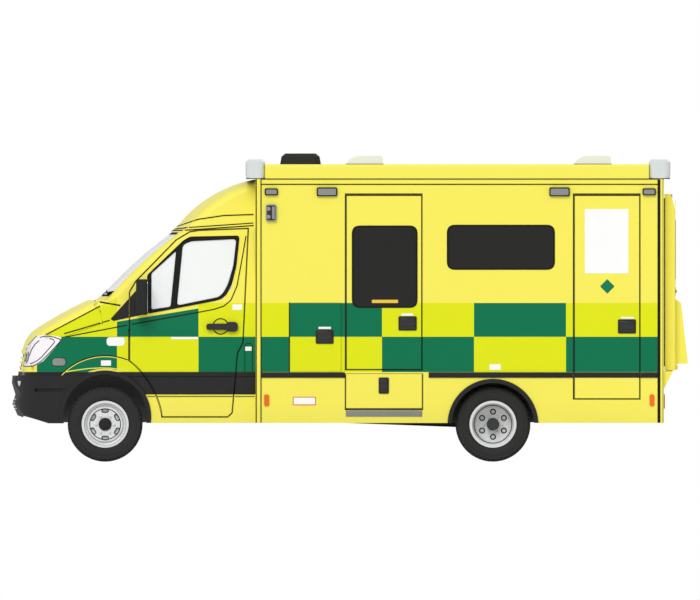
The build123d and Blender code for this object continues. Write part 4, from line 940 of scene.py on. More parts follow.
for sideName, view in sideViews.items():
    door, glass, body = f"cab_door_{sideName}", f"cab_door_{sideName}_glass", f"{sideName}_cab_door"
    bm = bmesh.new()
    holes = [
        roundCorners(cabSpec["quarterGlass"], cabSpec["quarterCorner"]),
        roundCorners(cabSpec["mainGlass"], cabSpec["corner"]),
    ]
    outline = roundCorners(cabSpec["window"], cabSpec["corner"])
    skinShell(bm, outline, [door, glass], 0.006, 0.001, holes, view, 0.12, 0.002)
    addPiece(f"doorWindowRubber_{sideName}", bm, sealRubber, body)
    rearSail = cutAtX(cabSpec["sail"], cabSpec["doorFrontX"] - cabSpec["sailGap"][0], True)
    trimPiece(f"mirrorSail_{sideName}", [(rearSail, [door], view)], mouldedBlack, body, "dark_plastic",
              0.004, edge=0.002)
    frontSail = cutAtX(cabSpec["sail"], cabSpec["doorFrontX"] + cabSpec["sailGap"][1], False)
    trimPiece(f"pillarSail_{sideName}", [(frontSail, ["cab_frame", "front_wings"], view)], mouldedBlack,
              "chassis", "dark_plastic", 0.004, edge=0.002)
    line = cabSpec["lineWidth"]
    trimPiece(f"doorWaistLine_{sideName}", [(ribbon(cabSpec["waist"], line), [door], view)], sealRubber,
              body, "dark_plastic", lineProud)
    brow = arcPoints(cabLines["archCentre"], *cabSpec["archBrow"], 20)
    trimPiece(
        f"wingLines_{sideName}",
        [(ribbon(cabSpec["wingWaist"], line), ["front_wings"], view),
         (ribbon(brow, line), ["front_wings"], view)],
        sealRubber, "chassis", "dark_plastic", lineProud,
    )
    trimPiece(
        f"bonnetCrease_{sideName}",
        [(ribbon(cabSpec[part], line), ["bonnet"], view) for part in ("bonnetCrease", "bonnetShut")],
        sealRubber, "bonnet_lid", "dark_plastic", 0.004, step=0.02,
    )
print("cab sides trimmed")

# inner arches: plates behind the wheels, slotted for the suspension
innerPlates = [
    {"centre": (2.313, 0.427), "radius": 0.46, "depth": (0.497, 0.503), "foot": 0.372,
     "slot": (0.13, 0.60)},
    {"centre": (-1.352, 0.354), "radius": 0.397, "depth": (0.5755, 0.5795), "foot": 0.372,
     "slot": (0.17, 0.56)},
]


def slottedPlate(bm, spec, side):
    arc = arcPoints(spec["centre"], spec["radius"], 0.05, math.pi - 0.05, 28)
    slotHalf, slotTop = spec["slot"]
    axleX, foot = spec["centre"][0], spec["foot"]
    plate = [
        (arc[0][0], foot), *arc, (arc[-1][0], foot), (axleX - slotHalf, foot), (axleX - slotHalf, slotTop),
        (axleX + slotHalf, slotTop), (axleX + slotHalf, foot),
    ]
    flatPlate(bm, plate, 1, [side * y for y in spec["depth"]])


bm = bmesh.new()
for spec in innerPlates:
    for side in (1, -1):
        slottedPlate(bm, spec, side)
addPiece("innerWings", bm, linerGrey, "chassis")

# rubber seals behind the shut lines; they sit inside the skins, so the doors swing clear of them
sealSpec = {
    "width": 0.056, "boxWidth": 0.05, "finDepth": (0.002, 0.04),
    "cabDepth": (0.050, 0.056), "boxDepth": (0.058, 0.064),
    "bonnetDepth": ((0.003, 0.045), (0.047, 0.053)),
    "door": [
        (2.087, 0.952), (2.087, 1.604), (2.029, 1.706), (1.645, 2.098), (1.514, 2.177), (1.426, 2.190),
        (0.956, 2.209), (1.007, 1.122), (1.059, 1.027), (1.109, 0.460), (1.152, 0.419), (1.779, 0.419),
    ],
    "doorArc": ((1.776, 0.422), (1.889, 0.734), (2.084, 0.952)),
    "bonnet": (
        ([(2.726, 1.172), (2.3535, 1.2995)], 0.0046),
        ([(2.3535, 1.2995), (2.3445, 1.330), (2.3495, 1.360), (2.3565, 1.400), (2.3775, 1.440),
          (2.4025, 1.470), (2.411, 1.500), (2.411, 1.515)], 0.009),
    ),
    "boxDoors": [(-0.684, 0.040, 0.866, 2.533), (-2.744, -2.115, 0.589, 2.533)],
    "paintedFins": [
        bar(0.0785, 0.0815, 0.846, 1.505), bar(0.079, 0.568, 1.501, 1.505), bar(0.079, 0.568, 0.845, 0.849),
        bar(-0.688, 0.044, 0.8325, 0.8345),
    ],
    "frontLocker": [(0.081, 0.569, 0.847, 1.503)], "stepFlap": [(-0.690, 0.046, 0.490, 0.832)],
}


def circleThrough(first, second, third):
    (ax, ay), (bx, by), (cx, cy) = first, second, third
    d = 2 * (ax * (by - cy) + bx * (cy - ay) + cx * (ay - by))
    ux = ((ax**2 + ay**2) * (by - cy) + (bx**2 + by**2) * (cy - ay) + (cx**2 + cy**2) * (ay - by)) / d
    uy = ((ax**2 + ay**2) * (cx - bx) + (bx**2 + by**2) * (ax - cx) + (cx**2 + cy**2) * (bx - ax)) / d
    return (ux, uy), math.dist((ux, uy), first)


def doorArcPoints(grow, steps=8):
    low, middle, high = sealSpec["doorArc"]
    centre, radius = circleThrough(low, middle, high)
    angles = [math.atan2(z - centre[1], x - centre[0]) for x, z in (low, high)]
    return arcPoints(centre, radius - grow, *angles, steps)


def sealRing(points, width):
    closed = points + points[:1]
    return [ribbon(closed[place : place + 2], width) for place in range(len(points))]


doorLoop = sealSpec["door"] + doorArcPoints(0)[1:-1]
cabDoors = {1: ["cab_door_left", "cab_frame", "front_wings"],
            -1: ["cab_door_right", "cab_frame", "front_wings"]}
bm, bonnetSeals = bmesh.new(), bmesh.new()
for view in (leftSide, rightSide):
    near, far = sealSpec["cabDepth"]
    for outline in sealRing(doorLoop, sealSpec["width"]):
        skinShell(bm, outline, cabDoors[view[1]], -near, far, view=view, step=0.2)
    carriers = ["bonnet", "front_wings", "cab_frame", "headlamps"]
    for points, fin in sealSpec["bonnet"]:
        for width, (near, far) in zip((fin, sealSpec["width"]), sealSpec["bonnetDepth"]):
            skinShell(bonnetSeals, ribbon(points, width), carriers, -near, far, view=view, step=0.1)
addPiece("cabSeals", bm, sealRubber, "chassis")
addPiece("bonnetSeals", bonnetSeals, cabPaint, "chassis")
near, far = sealSpec["boxDepth"]
for name, doors, edges, finish, slotName in (
    ("boxDoorSeals", sealSpec["boxDoors"], (0, 1, 2, 3), sealRubber, "dark_plastic"),
    ("stepFlapSeals", sealSpec["stepFlap"], (1, 2, 3), sealRubber, "dark_plastic"),
    ("paintedSeals", sealSpec["frontLocker"], (0, 1, 2, 3), boxPaint, "box_paint"),
    ("paintedStepSeal", sealSpec["stepFlap"], (0,), boxPaint, "box_paint"),
):
    bm = bmesh.new()
    for rear, front, low, high in doors:
        outlines = sealRing([(front, high), (rear, high), (rear, low), (front, low)], sealSpec["boxWidth"])
        for place in edges:
            skinShell(bm, outlines[place], ["box_left_wall"], -near, far, step=flatStep)
    addPiece(name, bm, finish, "chassis")
bm = bmesh.new()
near, far = sealSpec["finDepth"]
for outline in sealSpec["paintedFins"]:
    skinShell(bm, outline, ["box_left_wall"], -near, far, step=flatStep)
addPiece("paintedFins", bm, boxPaint, "chassis")
print("seals in")

# box walls: rub strips, corner and cant lines, window frames
wallSpec = {
    "strip": (0.793, 0.845), "stripProud": 0.010, "lockerProud": 0.004, "lineWidth": 0.010,
    "cantLines": (2.671, 2.621), "frontLines": (0.886, 0.840), "rearLines": (-2.962,),
    "cornerStrip": (-2.934, -2.907),
    "wallTop": 2.669, "wallFoot": 0.368,
}
walls = {1: ["box_left_wall"], -1: ["box_right_wall"]}


low, high = wallSpec["strip"]
stripRows = [
    (bar(0.049, 0.840, low, high), walls[1], leftSide),
    (bar(-2.1055, -0.745, low, high), walls[1], leftSide),
    (bar(-2.907, -2.7475, low, high), walls[1], leftSide),
    (bar(-2.907, 0.840, low, high), walls[-1], rightSide),
]
trimPiece("rubStrips", stripRows, mouldedBlack, "chassis", "dark_plastic", wallSpec["stripProud"],
          edge=0.003, step=4)
trimPiece(
    "lockerRubStrip", [(bar(-2.7405, -2.1185, low, high), ["rear_locker_door"], leftSide)],
    mouldedBlack, "rear_locker", "dark_plastic", wallSpec["lockerProud"], edge=0.001, step=4,
)
lineRows = []
half = wallSpec["lineWidth"] / 2
for view in (leftSide, rightSide):
    carriers = walls[view[1]] + ["box_front_wall", "box_rear_frame"]
    for z in wallSpec["cantLines"]:
        lineRows.append((bar(-2.907, 0.840, z - half, z + half), carriers, view))
    for x in wallSpec["frontLines"] + wallSpec["rearLines"]:
        lineRows.append((bar(x - half, x + half, wallSpec["wallFoot"], wallSpec["wallTop"]), carriers,
                         view))
    lineRows.append((bar(*wallSpec["cornerStrip"], wallSpec["wallFoot"], wallSpec["wallTop"]), carriers,
                     view))
trimPiece("panelBeads", lineRows, sealRubber, "chassis", "dark_plastic", beadProud, step=4)

windowSpec = {
    "wall": (-1.936, -0.918, 1.815, 2.237), "door": (-0.638, -0.020, 1.455, 2.230),
    "insets": (-0.002, 0.014), "corners": (0.078, 0.066),
}


def windowFrame(name, window, rows, body):
    outer, inner = (
        roundCorners(insetLoop(bar(*window), inset), corner, 6)
        for inset, corner in zip(windowSpec["insets"], windowSpec["corners"])
    )
    bm = bmesh.new()
    for carriers, view in rows:
        skinShell(bm, outer, carriers, 0.004, 0.004, [inner], view, flatStep, 0.0015)
    addPiece(name, bm, sealRubber, body)


wallGlass = [([*walls[view[1]], "box_windows"], view) for view in (leftSide, rightSide)]
windowFrame("wallWindowRubbers", windowSpec["wall"], wallGlass, "chassis")
windowFrame("doorWindowRubber", windowSpec["door"], [(["side_door", "side_door_glass"], leftSide)],
            "saloon_side_door")

# paddle latches; columns: name, door, body, corners in the drawing
latchSpec = {
    "proud": 0.008, "sink": 0.003, "rim": 0.012, "corners": (0.014, 0.008), "edge": 0.002,
    "backInset": 0.004, "back": (-0.002, 0.003), "backEdge": 0.001,
    "lever": 0.017, "leverInset": 0.006, "leverFoot": 0.03, "leverEdge": 0.004,
}
latches = [
    ("sideDoorLatch", "side_door", "saloon_side_door", ((398.4, 316.2), (416.8, 330.6))),
    ("frontLockerLatch", "front_locker_door", "front_locker", ((315.7, 329.6), (333.7, 343.9))),
    ("rearLockerLatch", "rear_locker_door", "rear_locker", ((617.9, 319.3), (636, 333.6))),
    ("stepLatch", "step_flap", "step_well_flap", ((378.6, 377.4), (389, 393.8))),
]
for name, door, body, corners in latches:
    (xHigh, zHigh), (xLow, zLow) = sidePoints(*corners)
    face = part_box(door)[1].y
    bm = bmesh.new()
    rim, (outerCorner, innerCorner) = latchSpec["rim"], latchSpec["corners"]
    hole = roundCorners(bar(xLow + rim, xHigh - rim, zLow + rim, zHigh - rim), innerCorner)
    skinShell(bm, roundCorners(bar(xLow, xHigh, zLow, zHigh), outerCorner), [door], latchSpec["proud"],
              latchSpec["sink"], [hole], step=flatStep, edge=latchSpec["edge"])
    inset = latchSpec["backInset"]
    addBlock(bm, (xLow + inset, xHigh - inset), [face + reach for reach in latchSpec["back"]],
             (zLow + inset, zHigh - inset), latchSpec["backEdge"])
    inset = rim + latchSpec["leverInset"]
    addBlock(bm, (xLow + inset, xHigh - inset), (face, face + latchSpec["lever"]),
             (zLow + rim + latchSpec["leverFoot"], zHigh - inset), latchSpec["leverEdge"], 3)
    addPiece(name, bm, glossBlack, body)
print("box walls trimmed")

# cab door handles with their finger dishes
handleSpec = {"start": 206.3, "end": 238, "line": 326.8, "grip": 0.060, "block": 0.094, "reach": 0.040,
              "dish": ((220.6, 326.4), 0.078)}
for sideName, view in sideViews.items():
    door, body, end = f"cab_door_{sideName}", f"{sideName}_cab_door", view[1]
    front, middleZ = sidePoint(handleSpec["start"], handleSpec["line"])
    rear = sidePoint(handleSpec["end"], 0)[0]
    skin = abs(skinDepth(carrierTree([door]), (front + rear) / 2, middleZ, view))
    bm = bmesh.new()
    grip, tall, out = handleSpec["grip"] / 2, handleSpec["block"] / 2, handleSpec["reach"]
    # grip, rear block and front foot; columns: rear x, front x, inner and outer reach, half height, corner
    for xLow, xHigh, inner, outer, height, corner in (
        (rear + 0.03, front, out * 0.4, out, grip, 0.05),
        (rear, rear + 0.118, -0.006, out * 0.95, tall, 0.05),
        (front - 0.06, front - 0.012, -0.006, out * 0.8, grip * 0.7, 0.02),
    ):
        outline = roundCorners(bar(xLow, xHigh, middleZ - height, middleZ + height), corner, 6)
        lever = bmesh.new()
        flatPlate(lever, outline, 1, [end * (skin + depth) for depth in (inner, outer)])
        rimEdges = [edge for edge in lever.edges if edge.calc_face_angle(0) > 1.2]
        bmesh.ops.bevel(lever, geom=rimEdges, offset=0.005, segments=2, profile=0.5, affect="EDGES")
        joinShape(bm, lever)
    addPiece(f"doorHandle_{sideName}", bm, glossBlack, body)
    centre, radius = sidePoint(*handleSpec["dish"][0]), handleSpec["dish"][1]
    ring = arcPoints(centre, radius, 0, 2 * math.pi, 40)[:-1]
    hole = arcPoints(centre, radius - 0.010, 0, 2 * math.pi, 40)[:-1]
    bm = bmesh.new()
    skinShell(bm, ring, [door], 0.002, 0.003, [hole], view, 0.3)
    addPiece(f"handleDish_{sideName}", bm, sealRubber, body)
print("handles on")

# drip gutters and the fairing joint over the cab doors
roofLines = {
    "gutter": sidePoints((184.5, 229), (198, 228.1), (226, 226.2), (253.5, 224.3)),
    "fairing": sidePoints((184, 224), (198, 219.3), (223.9, 215.5), (253.5, 214.5)),
    "channel": 0.034, "cap": 0.012, "joint": 0.011,
    # joints over the screen; columns: half width, height at the ends, height in the middle
    "front": ((0.545, 2.2463, 2.2250), (0.790, 2.2105, 2.2000), (0.790, 2.1875, 2.1850)), "steps": 24,
}
carriers = ["cab_frame", "cab_roof"]
bothSides = (leftSide, rightSide)
trimPiece(
    "roofJointLines",
    [(ribbon(roofLines["gutter"], roofLines["channel"]), carriers, view) for view in bothSides]
    + [(ribbon(roofLines["fairing"], roofLines["joint"]), carriers, view) for view in bothSides],
    sealRubber, "chassis", "dark_plastic", beadProud, step=0.015,
)
rows = []
for half, ends, middle in roofLines["front"]:
    parts = [2 * place / roofLines["steps"] - 1 for place in range(roofLines["steps"] + 1)]
    points = [(half * part, middle + (ends - middle) * part**2) for part in parts]
    rows.append((ribbon(points, roofLines["joint"]), carriers, frontEnd))
trimPiece("screenHeaderLines", rows, sealRubber, "chassis", "dark_plastic", beadProud, step=0.03)
trimPiece(
    "gutterCaps", [(ribbon(roofLines["gutter"], roofLines["cap"]), carriers, view) for view in bothSides],
    yellowPaint, "chassis", "body_paint", 0.008, step=0.015, edge=0.002,
)

# black cladding along the sills, stepped at its upper lip; it breaks at the door's shut lines
claddingSpec = {
    "rows": ((0.640, 0.799, 0.012), (0.8065, 0.8455, 0.008)), "inset": 0.008, "archReach": 0.442,
    "rearEnd": 0.900, "doorRear": ((1.059, 1.027), (1.109, 0.460)), "sillLine": (0.612, 0.619),
}
doorCentre, doorRadius = circleThrough(*sealSpec["doorArc"])


def arcBetween(centre, radius, low, high, steps=6):
    heights = [low + (high - low) * step / steps for step in range(steps + 1)]
    return [(centre[0] - math.sqrt(radius**2 - (z - centre[1]) ** 2), z) for z in heights]


def doorRearX(z):
    (topX, topZ), (footX, footZ) = claddingSpec["doorRear"]
    return topX + (footX - topX) * (topZ - z) / (topZ - footZ)


def claddingOutlines(low, high):
    inset, rear = claddingSpec["inset"], claddingSpec["rearEnd"]
    door = arcBetween(doorCentre, doorRadius + inset, low, high)
    door += [(doorRearX(high) + inset, high), (doorRearX(low) + inset, low)]
    wing = arcBetween(cabLines["archCentre"], claddingSpec["archReach"], low, high)
    wing += arcBetween(doorCentre, doorRadius - inset, low, high)[::-1]
    frameEnd = [(doorRearX(low) - inset, low), (doorRearX(high) - inset, high), (rear, high), (rear, low)]
    return {"door": door, "wing": wing, "frame": frameEnd}


fixedCladding, doorCladding = bmesh.new(), {1: bmesh.new(), -1: bmesh.new()}
for low, high, proud in claddingSpec["rows"]:
    outlines = claddingOutlines(low, high)
    for view in bothSides:
        door = "cab_door_left" if view[1] == 1 else "cab_door_right"
        for bm, outline, names in (
            (doorCladding[view[1]], outlines["door"], [door]),
            (fixedCladding, outlines["wing"], ["front_wings"]),
            (fixedCladding, outlines["frame"], ["cab_frame"]),
        ):
            skinShell(bm, outline, names, proud, view=view, step=0.15, edge=0.003)
addPiece("sillCladding", fixedCladding, mouldedBlack, "chassis")
for sideName, side in sides.items():
    addPiece(f"doorCladding_{sideName}", doorCladding[side], mouldedBlack, f"{sideName}_cab_door")
    low, high = claddingSpec["sillLine"]
    outline = claddingOutlines(low, high)["door"]
    view = (1, side)
    trimPiece(f"doorSillLine_{sideName}", [(outline, [f"cab_door_{sideName}"], view)], sealRubber,
              f"{sideName}_cab_door", "dark_plastic", 0.002, step=0.15)
low, high = claddingSpec["sillLine"]
outlines = claddingOutlines(low, high)
rows = [
    (outlines[part], [node], view)
    for part, node in (("wing", "front_wings"), ("frame", "cab_frame")) for view in bothSides
]
trimPiece("sillLines", rows, sealRubber, "chassis", "dark_plastic", 0.002, step=0.15)
print("cladding on")

# rubber lips round the doors' edges; columns: name, node, body, edge outline, edges that show
lipSpec = {"start": 0.0012, "cabStart": 0.003, "width": 0.0065, "proud": 0.0012}
lips = [
    ("sideDoorLip", "side_door", "saloon_side_door", bar(-0.681, 0.037, 0.869, 2.530), (0, 1, 2, 3)),
    ("rearLockerLip", "rear_locker_door", "rear_locker", bar(-2.741, -2.118, 0.592, 2.530), (0, 1, 2, 3)),
    ("stepFlapLip", "step_flap", "step_well_flap", bar(-0.687, 0.043, 0.498, 0.829), (1, 2, 3)),
]
for name, node, body, edgeLoop, edges in lips:
    outer = insetLoop(edgeLoop, lipSpec["start"])
    inner = insetLoop(edgeLoop, lipSpec["start"] + lipSpec["width"])
    bm = bmesh.new()
    for place in edges:
        after = (place + 1) % 4
        skinShell(bm, [outer[place], outer[after], inner[after], inner[place]], [node], lipSpec["proud"],
                  0.002, step=flatStep)
    addPiece(name, bm, sealRubber, body)
for sideName, view in sideViews.items():
    bm = bmesh.new()
    places = (lipSpec["start"], lipSpec["start"] + lipSpec["width"])
    outer, inner = (insetLoop(doorLoop, lipSpec["cabStart"] + part) for part in places)
    skinShell(bm, outer, [f"cab_door_{sideName}"], lipSpec["proud"], 0.002, [inner], view, 0.06)
    addPiece(f"cabDoorLip_{sideName}", bm, sealRubber, f"{sideName}_cab_door")
print("door lips on")

# fuel flap behind the left cab door
fuelFlap = {"edge": (0.919, 0.996, 0.812, 1.120), "corner": 0.03, "line": 0.006}
loop = roundCorners(bar(*fuelFlap["edge"]), fuelFlap["corner"])
bm = bmesh.new()
skinShell(bm, loop, ["cab_frame"], 0.0022, 0.003, [insetLoop(loop, fuelFlap["line"])], step=0.1)
addPiece("fuelFlapLine", bm, sealRubber, "chassis")

# blank plates and tags; columns: body, node, corners in the drawing
tagProud = 0.0018
tags = [
    ("chassis", "front_wings", ((101, 360.4), (111, 365.7))),
    ("chassis", "cab_frame", ((244.6, 346.7), (251.6, 350.8))),
    ("chassis", "box_left_wall", ((489.6, 364.3), (500.7, 369.8))),
    ("left_cab_door", "cab_door_left", ((171.3, 337), (198, 339.2))),
    ("left_cab_door", "cab_door_left", ((232.5, 304.5), (242.1, 309.9))),
    ("saloon_side_door", "side_door", ((401.5, 313.5), (413, 315.8))),
    ("front_locker", "front_locker_door", ((318.5, 326.8), (331, 329))),
    ("rear_locker", "rear_locker_door", ((621, 317), (634, 318.7))),
    ("rear_locker", "rear_locker_door", ((584.8, 209), (628.4, 273.4))),
]
for body in dict.fromkeys(row[0] for row in tags):
    rows = [
        (boxOutline(corners, 0.004), [node], leftSide)
        for owner, node, corners in tags if owner == body
    ]
    trimPiece(f"blankTags_{body}", rows, signWhite, body, "white_plastic", tagProud, step=0.3)
tagFinish = {
    "border": plainFinish("tagRed", linear(206, 40, 36), roughness=0.45, grain=0.02),
    "green": plainFinish("signGreen", linear(8, 120, 82), roughness=0.45, grain=0.02),
    "amber": plainFinish("stripAmber", linear(241, 198, 60), roughness=0.45, grain=0.02),
}
labelSpec = {"corners": ((292.9, 396.8), (315.9, 405.2)), "border": 0.007}
labelLoop = boxOutline(labelSpec["corners"], 0.008)
trimPiece("labelBorder", [(labelLoop, walls[1], leftSide)], tagFinish["border"], "chassis", "white_plastic",
          tagProud, step=flatStep)
trimPiece("labelFace", [(insetLoop(labelLoop, labelSpec["border"]), walls[1], leftSide)], signWhite,
          "chassis", "white_plastic", tagProud + 0.001, step=flatStep)
diamond = {"centre": sidePoint(607.3, 286.4), "half": 0.069}
middleX, middleZ = diamond["centre"]
corners = [(middleX + diamond["half"], middleZ), (middleX, middleZ + diamond["half"]),
           (middleX - diamond["half"], middleZ), (middleX, middleZ - diamond["half"])]
trimPiece("greenDiamond", [(roundCorners(corners, 0.008), ["rear_locker_door"], leftSide)],
          tagFinish["green"], "rear_locker", "white_plastic", tagProud, step=flatStep)
trimPiece("doorWindowStrip", [(boxOutline(((371.9, 299.8), (398, 303))), ["side_door_glass"], leftSide)],
          tagFinish["amber"], "saloon_side_door", "white_plastic", tagProud, step=flatStep)

# lozenge lamp and blank lozenge on the wings
pills = {"lamp": ((52.2, 358.3), (65.5, 365.7)), "blank": ((106.6, 337.2), (124.7, 345.8)), "corner": 0.034}
lampLoop, blankLoop = (boxOutline(pills[part], pills["corner"]) for part in ("lamp", "blank"))
trimPiece("wingLamps", [(lampLoop, ["front_wings"], view) for view in bothSides], lampGrey, "chassis",
          "lamp_clear", 0.007, step=0.04, edge=0.003)
trimPiece("wingLampRims", [(insetLoop(lampLoop, -0.005), ["front_wings"], view) for view in bothSides],
          sealRubber, "chassis", "dark_plastic", beadProud, step=0.04)
trimPiece("wingLozenge", [(blankLoop, ["front_wings"], leftSide)], signWhite, "chassis",
          "white_plastic", 0.004, step=0.05)
print("tags and lozenges on")

# dark strips along the wall doors' tops, and the step edge under the flap
for name, node, body, outline in (
    ("sideDoorTopStrip", "side_door", "saloon_side_door", bar(-0.680, 0.036, 2.512, 2.5285)),
    ("lockerTopStrip", "rear_locker_door", "rear_locker", bar(-2.740, -2.119, 2.512, 2.5285)),
):
    trimPiece(name, [(outline, [node], leftSide)], sealRubber, body, "dark_plastic", beadProud,
              step=flatStep)
stepEdge = {"x": (-0.685, 0.039), "z": (0.424, 0.484), "ribs": 24, "rib": 0.010, "ribHalf": 0.024,
            "proud": 0.003}
bm = bmesh.new()
addBlock(bm, (-stepEdge["rib"] / 2, stepEdge["rib"] / 2), (0, stepEdge["proud"]),
         (-stepEdge["ribHalf"], stepEdge["ribHalf"]), 0.001)
spacing = (stepEdge["x"][1] - stepEdge["x"][0]) / stepEdge["ribs"]
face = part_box("box_left_wall")[1].y
ribs = repeatShape(bm, stepGrey, stepEdge["ribs"], step=(spacing, 0, 0),
                   centre=(stepEdge["x"][0] + spacing / 2, face + 0.0015, sum(stepEdge["z"]) / 2))
skinShell(ribs, bar(*stepEdge["x"], *stepEdge["z"]), walls[1], 0.0018, step=flatStep)
addPiece("stepEdge", ribs, stepGrey, "chassis")

# lamp bezels on both walls; columns: rear x, front x, low z, high z
bezelSpec = {"insets": (-0.002, 0.010), "proud": 0.024, "corners": (0.018, 0.012)}
wallLamps = [
    (0.681, 0.804, 2.518, 2.582), (0.121, 0.312, 2.509, 2.591), (-2.076, -1.886, 2.509, 2.591),
    (-2.890, -2.767, 2.518, 2.582),
]
bm = bmesh.new()
for lamp in wallLamps:
    outer, inner = (
        roundCorners(insetLoop(bar(*lamp), inset), corner)
        for inset, corner in zip(bezelSpec["insets"], bezelSpec["corners"])
    )
    for view in bothSides:
        skinShell(bm, outer, walls[view[1]], bezelSpec["proud"], 0, [inner], view, flatStep, 0.001)
addPiece("lampBezels", bm, mouldedBlack, "chassis")

# the panel high on the left wall: pale frame, two round lenses and a bar
inletSpec = {
    "edge": (0.695, 0.793, 2.272, 2.430), "insets": (-0.002, 0.010), "corners": (0.022, 0.014),
    "proud": 0.027, "lensX": 0.768, "lensZ": (2.313, 2.389),
    "lens": ((0.019, 0.0), (0.019, 0.004), (0.013, 0.008), (0.0, 0.009)),
    "bar": ((0.709, 0.736), (2.292, 2.410)),
}
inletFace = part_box("side_inlet")[1].y
bm = bmesh.new()
outer, inner = (
    roundCorners(insetLoop(bar(*inletSpec["edge"]), inset), corner)
    for inset, corner in zip(inletSpec["insets"], inletSpec["corners"])
)
skinShell(bm, outer, walls[1], inletSpec["proud"], 0, [inner], step=flatStep, edge=0.001)
for z in inletSpec["lensZ"]:
    joinShape(bm, latheShape(inletSpec["lens"], inletSpec["lensX"], inletFace - 0.001, z, 1, 24))
addBlock(bm, inletSpec["bar"][0], (inletFace - 0.002, inletFace + 0.007), inletSpec["bar"][1], 0.004, 3)
addPiece("inletLenses", bm, lampGrey, "chassis")
nodes["side_inlet"].data.materials[0] = glossBlack
print("wall fittings on")

# pale lines by the front arch: the arc is a painted highlight along the arch crease, the crescent a pale
# strip of body colour above the flare; and the cowl's joints
glintSpec = {
    "arc": (0.5655, 0.75, 1.95), "line": 0.007, "width": 0.009,
    "crescent": sidePoints((66, 371.9), (76, 370.2), (88, 368.6), (100, 367.9), (110, 368.1), (120, 369.4),
                           (129, 371)),
}
arc = arcPoints(cabLines["archCentre"], *glintSpec["arc"], 20)
rows = [
    (ribbon(points, width), ["front_wings"], view)
    for points, width in ((arc, glintSpec["line"]), (glintSpec["crescent"], glintSpec["width"]))
    for view in bothSides
]
trimPiece("archGlints", rows, yellowPaint, "chassis", "body_paint", lineProud, step=0.05)
cowlSpec = {
    "shut": (sidePoints((103, 322.2), (109.7, 320.3)), 0.010),
    "edge": (sidePoints((97.5, 301.4), (105, 302.8), (120.5, 305.5)), 0.014),
    "sealX": (2.4045, 2.4115), "rayX": 2.395, "half": 0.80, "drop": (0.002, 0.040), "steps": 32,
}
rows = [
    (ribbon(*cowlSpec[part]), ["cab_frame", "front_wings"], view)
    for part in ("shut", "edge") for view in bothSides
]
trimPiece("cowlLines", rows, sealRubber, "chassis", "dark_plastic", lineProud, step=0.03)
bm, rings, tree = bmesh.new(), [], carrierTree(["cab_frame"])
for place in range(cowlSpec["steps"] + 1):
    y = cowlSpec["half"] * (2 * place / cowlSpec["steps"] - 1)
    top = tree.ray_cast(Vector((cowlSpec["rayX"], y, 5)), Vector((0, 0, -1)))[0].z
    (rearX, frontX), (high, low) = cowlSpec["sealX"], cowlSpec["drop"]
    section = ((rearX, high), (frontX, high), (frontX, low), (rearX, low))
    rings.append([bm.verts.new((x, y, top - drop)) for x, drop in section])
for first, second in zip(rings, rings[1:]):
    for place in range(4):
        after = (place + 1) % 4
        bm.faces.new((first[place], first[after], second[after], second[place]))
for ends in (rings[0], rings[-1]):
    bm.faces.new(ends)
addPiece("cowlSeal", bm, sealRubber, "chassis")

# nose: grille backing, painted lip, bumper lamps and intake
noseSpec = {
    "grille": bar(-0.51, 0.51, 0.87, 1.02), "surround": bar(-0.563, 0.563, 0.850, 1.060),
    "backing": (-0.014, 0.018),
    "slots": [bar(-0.519, 0.519, z, z + 0.026) for z in (0.860, 0.904, 0.948, 0.992)],
    "lamp": sidePoints((17.6, 381), (20.7, 381), (20.3, 384), (19.2, 386.4), (18, 384)),
    "intake": bar(-0.46, 0.46, 0.500, 0.600), "slats": (0.515, 0.545, 0.575), "slat": 0.012,
}
bm = bmesh.new()
skinShell(bm, noseSpec["grille"], ["grille"], *noseSpec["backing"], view=frontEnd, step=0.05)
addPiece("grilleBacking", bm, sealRubber, "chassis")
bm = bmesh.new()
skinShell(bm, noseSpec["surround"], ["grille"], 0.004, 0.002, noseSpec["slots"], frontEnd, 0.04)
addPiece("grilleSurround", bm, yellowPaint, "chassis")
trimPiece("bumperLamps", [(noseSpec["lamp"], ["front_bumper"], view) for view in bothSides], barWhite,
          "chassis", "lamp_clear", 0.003, step=0.02)
trimPiece("intakePanel", [(noseSpec["intake"], ["front_bumper"], frontEnd)], glossBlack, "chassis",
          "dark_plastic", 0.001, step=0.05)
rows = [(bar(-0.455, 0.455, z - noseSpec["slat"] / 2, z + noseSpec["slat"] / 2), ["front_bumper"], frontEnd)
        for z in noseSpec["slats"]]
trimPiece("intakeSlats", rows, mouldedBlack, "chassis", "dark_plastic", 0.004, step=0.05, edge=0.001)

# headlamps: rim, inner lines and two round units in each
headlampSpec = {
    "rim": sidePoints(
        (31, 366.5), (34.8, 365.3), (41.2, 361.2), (50.7, 351.7), (58.2, 343.6), (60.9, 340.4),
        (60.4, 339.6), (54.8, 337.3), (48.7, 336.1), (44.4, 336.1), (40, 337.4)),
    "lines": (
        sidePoints((29.3, 356), (31.3, 350), (34.8, 344.4), (39.3, 340.4)),
        sidePoints((49.6, 338.4), (53.5, 339.8), (54.7, 341.7), (53, 344.1), (48.7, 348.9), (41.5, 357.1),
                   (37.2, 360.6), (31.9, 363.3), (27.5, 363.9)),
    ),
    "nose": [(0.84, 0.906), (0.80, 0.901), (0.583, 0.901), (0.583, 1.171), (0.70, 1.175), (0.84, 1.182),
             (0.90, 1.183)],
    "width": 0.008, "units": (((0.74, 0.985), (0.056, 0.045)), ((0.635, 0.985), (0.040, 0.031))),
}
bm = bmesh.new()
for view in bothSides:
    for points in (headlampSpec["rim"], *headlampSpec["lines"]):
        skinShell(bm, ribbon(points, headlampSpec["width"]), ["headlamps"], 0.002, 0.002, view=view,
                  step=0.03)
    nose = [(view[1] * y, z) for y, z in headlampSpec["nose"]]
    skinShell(bm, ribbon(nose, headlampSpec["width"]), ["headlamps"], 0.002, 0.002, view=frontEnd,
              step=0.03)
addPiece("headlampLines", bm, sealRubber, "chassis")
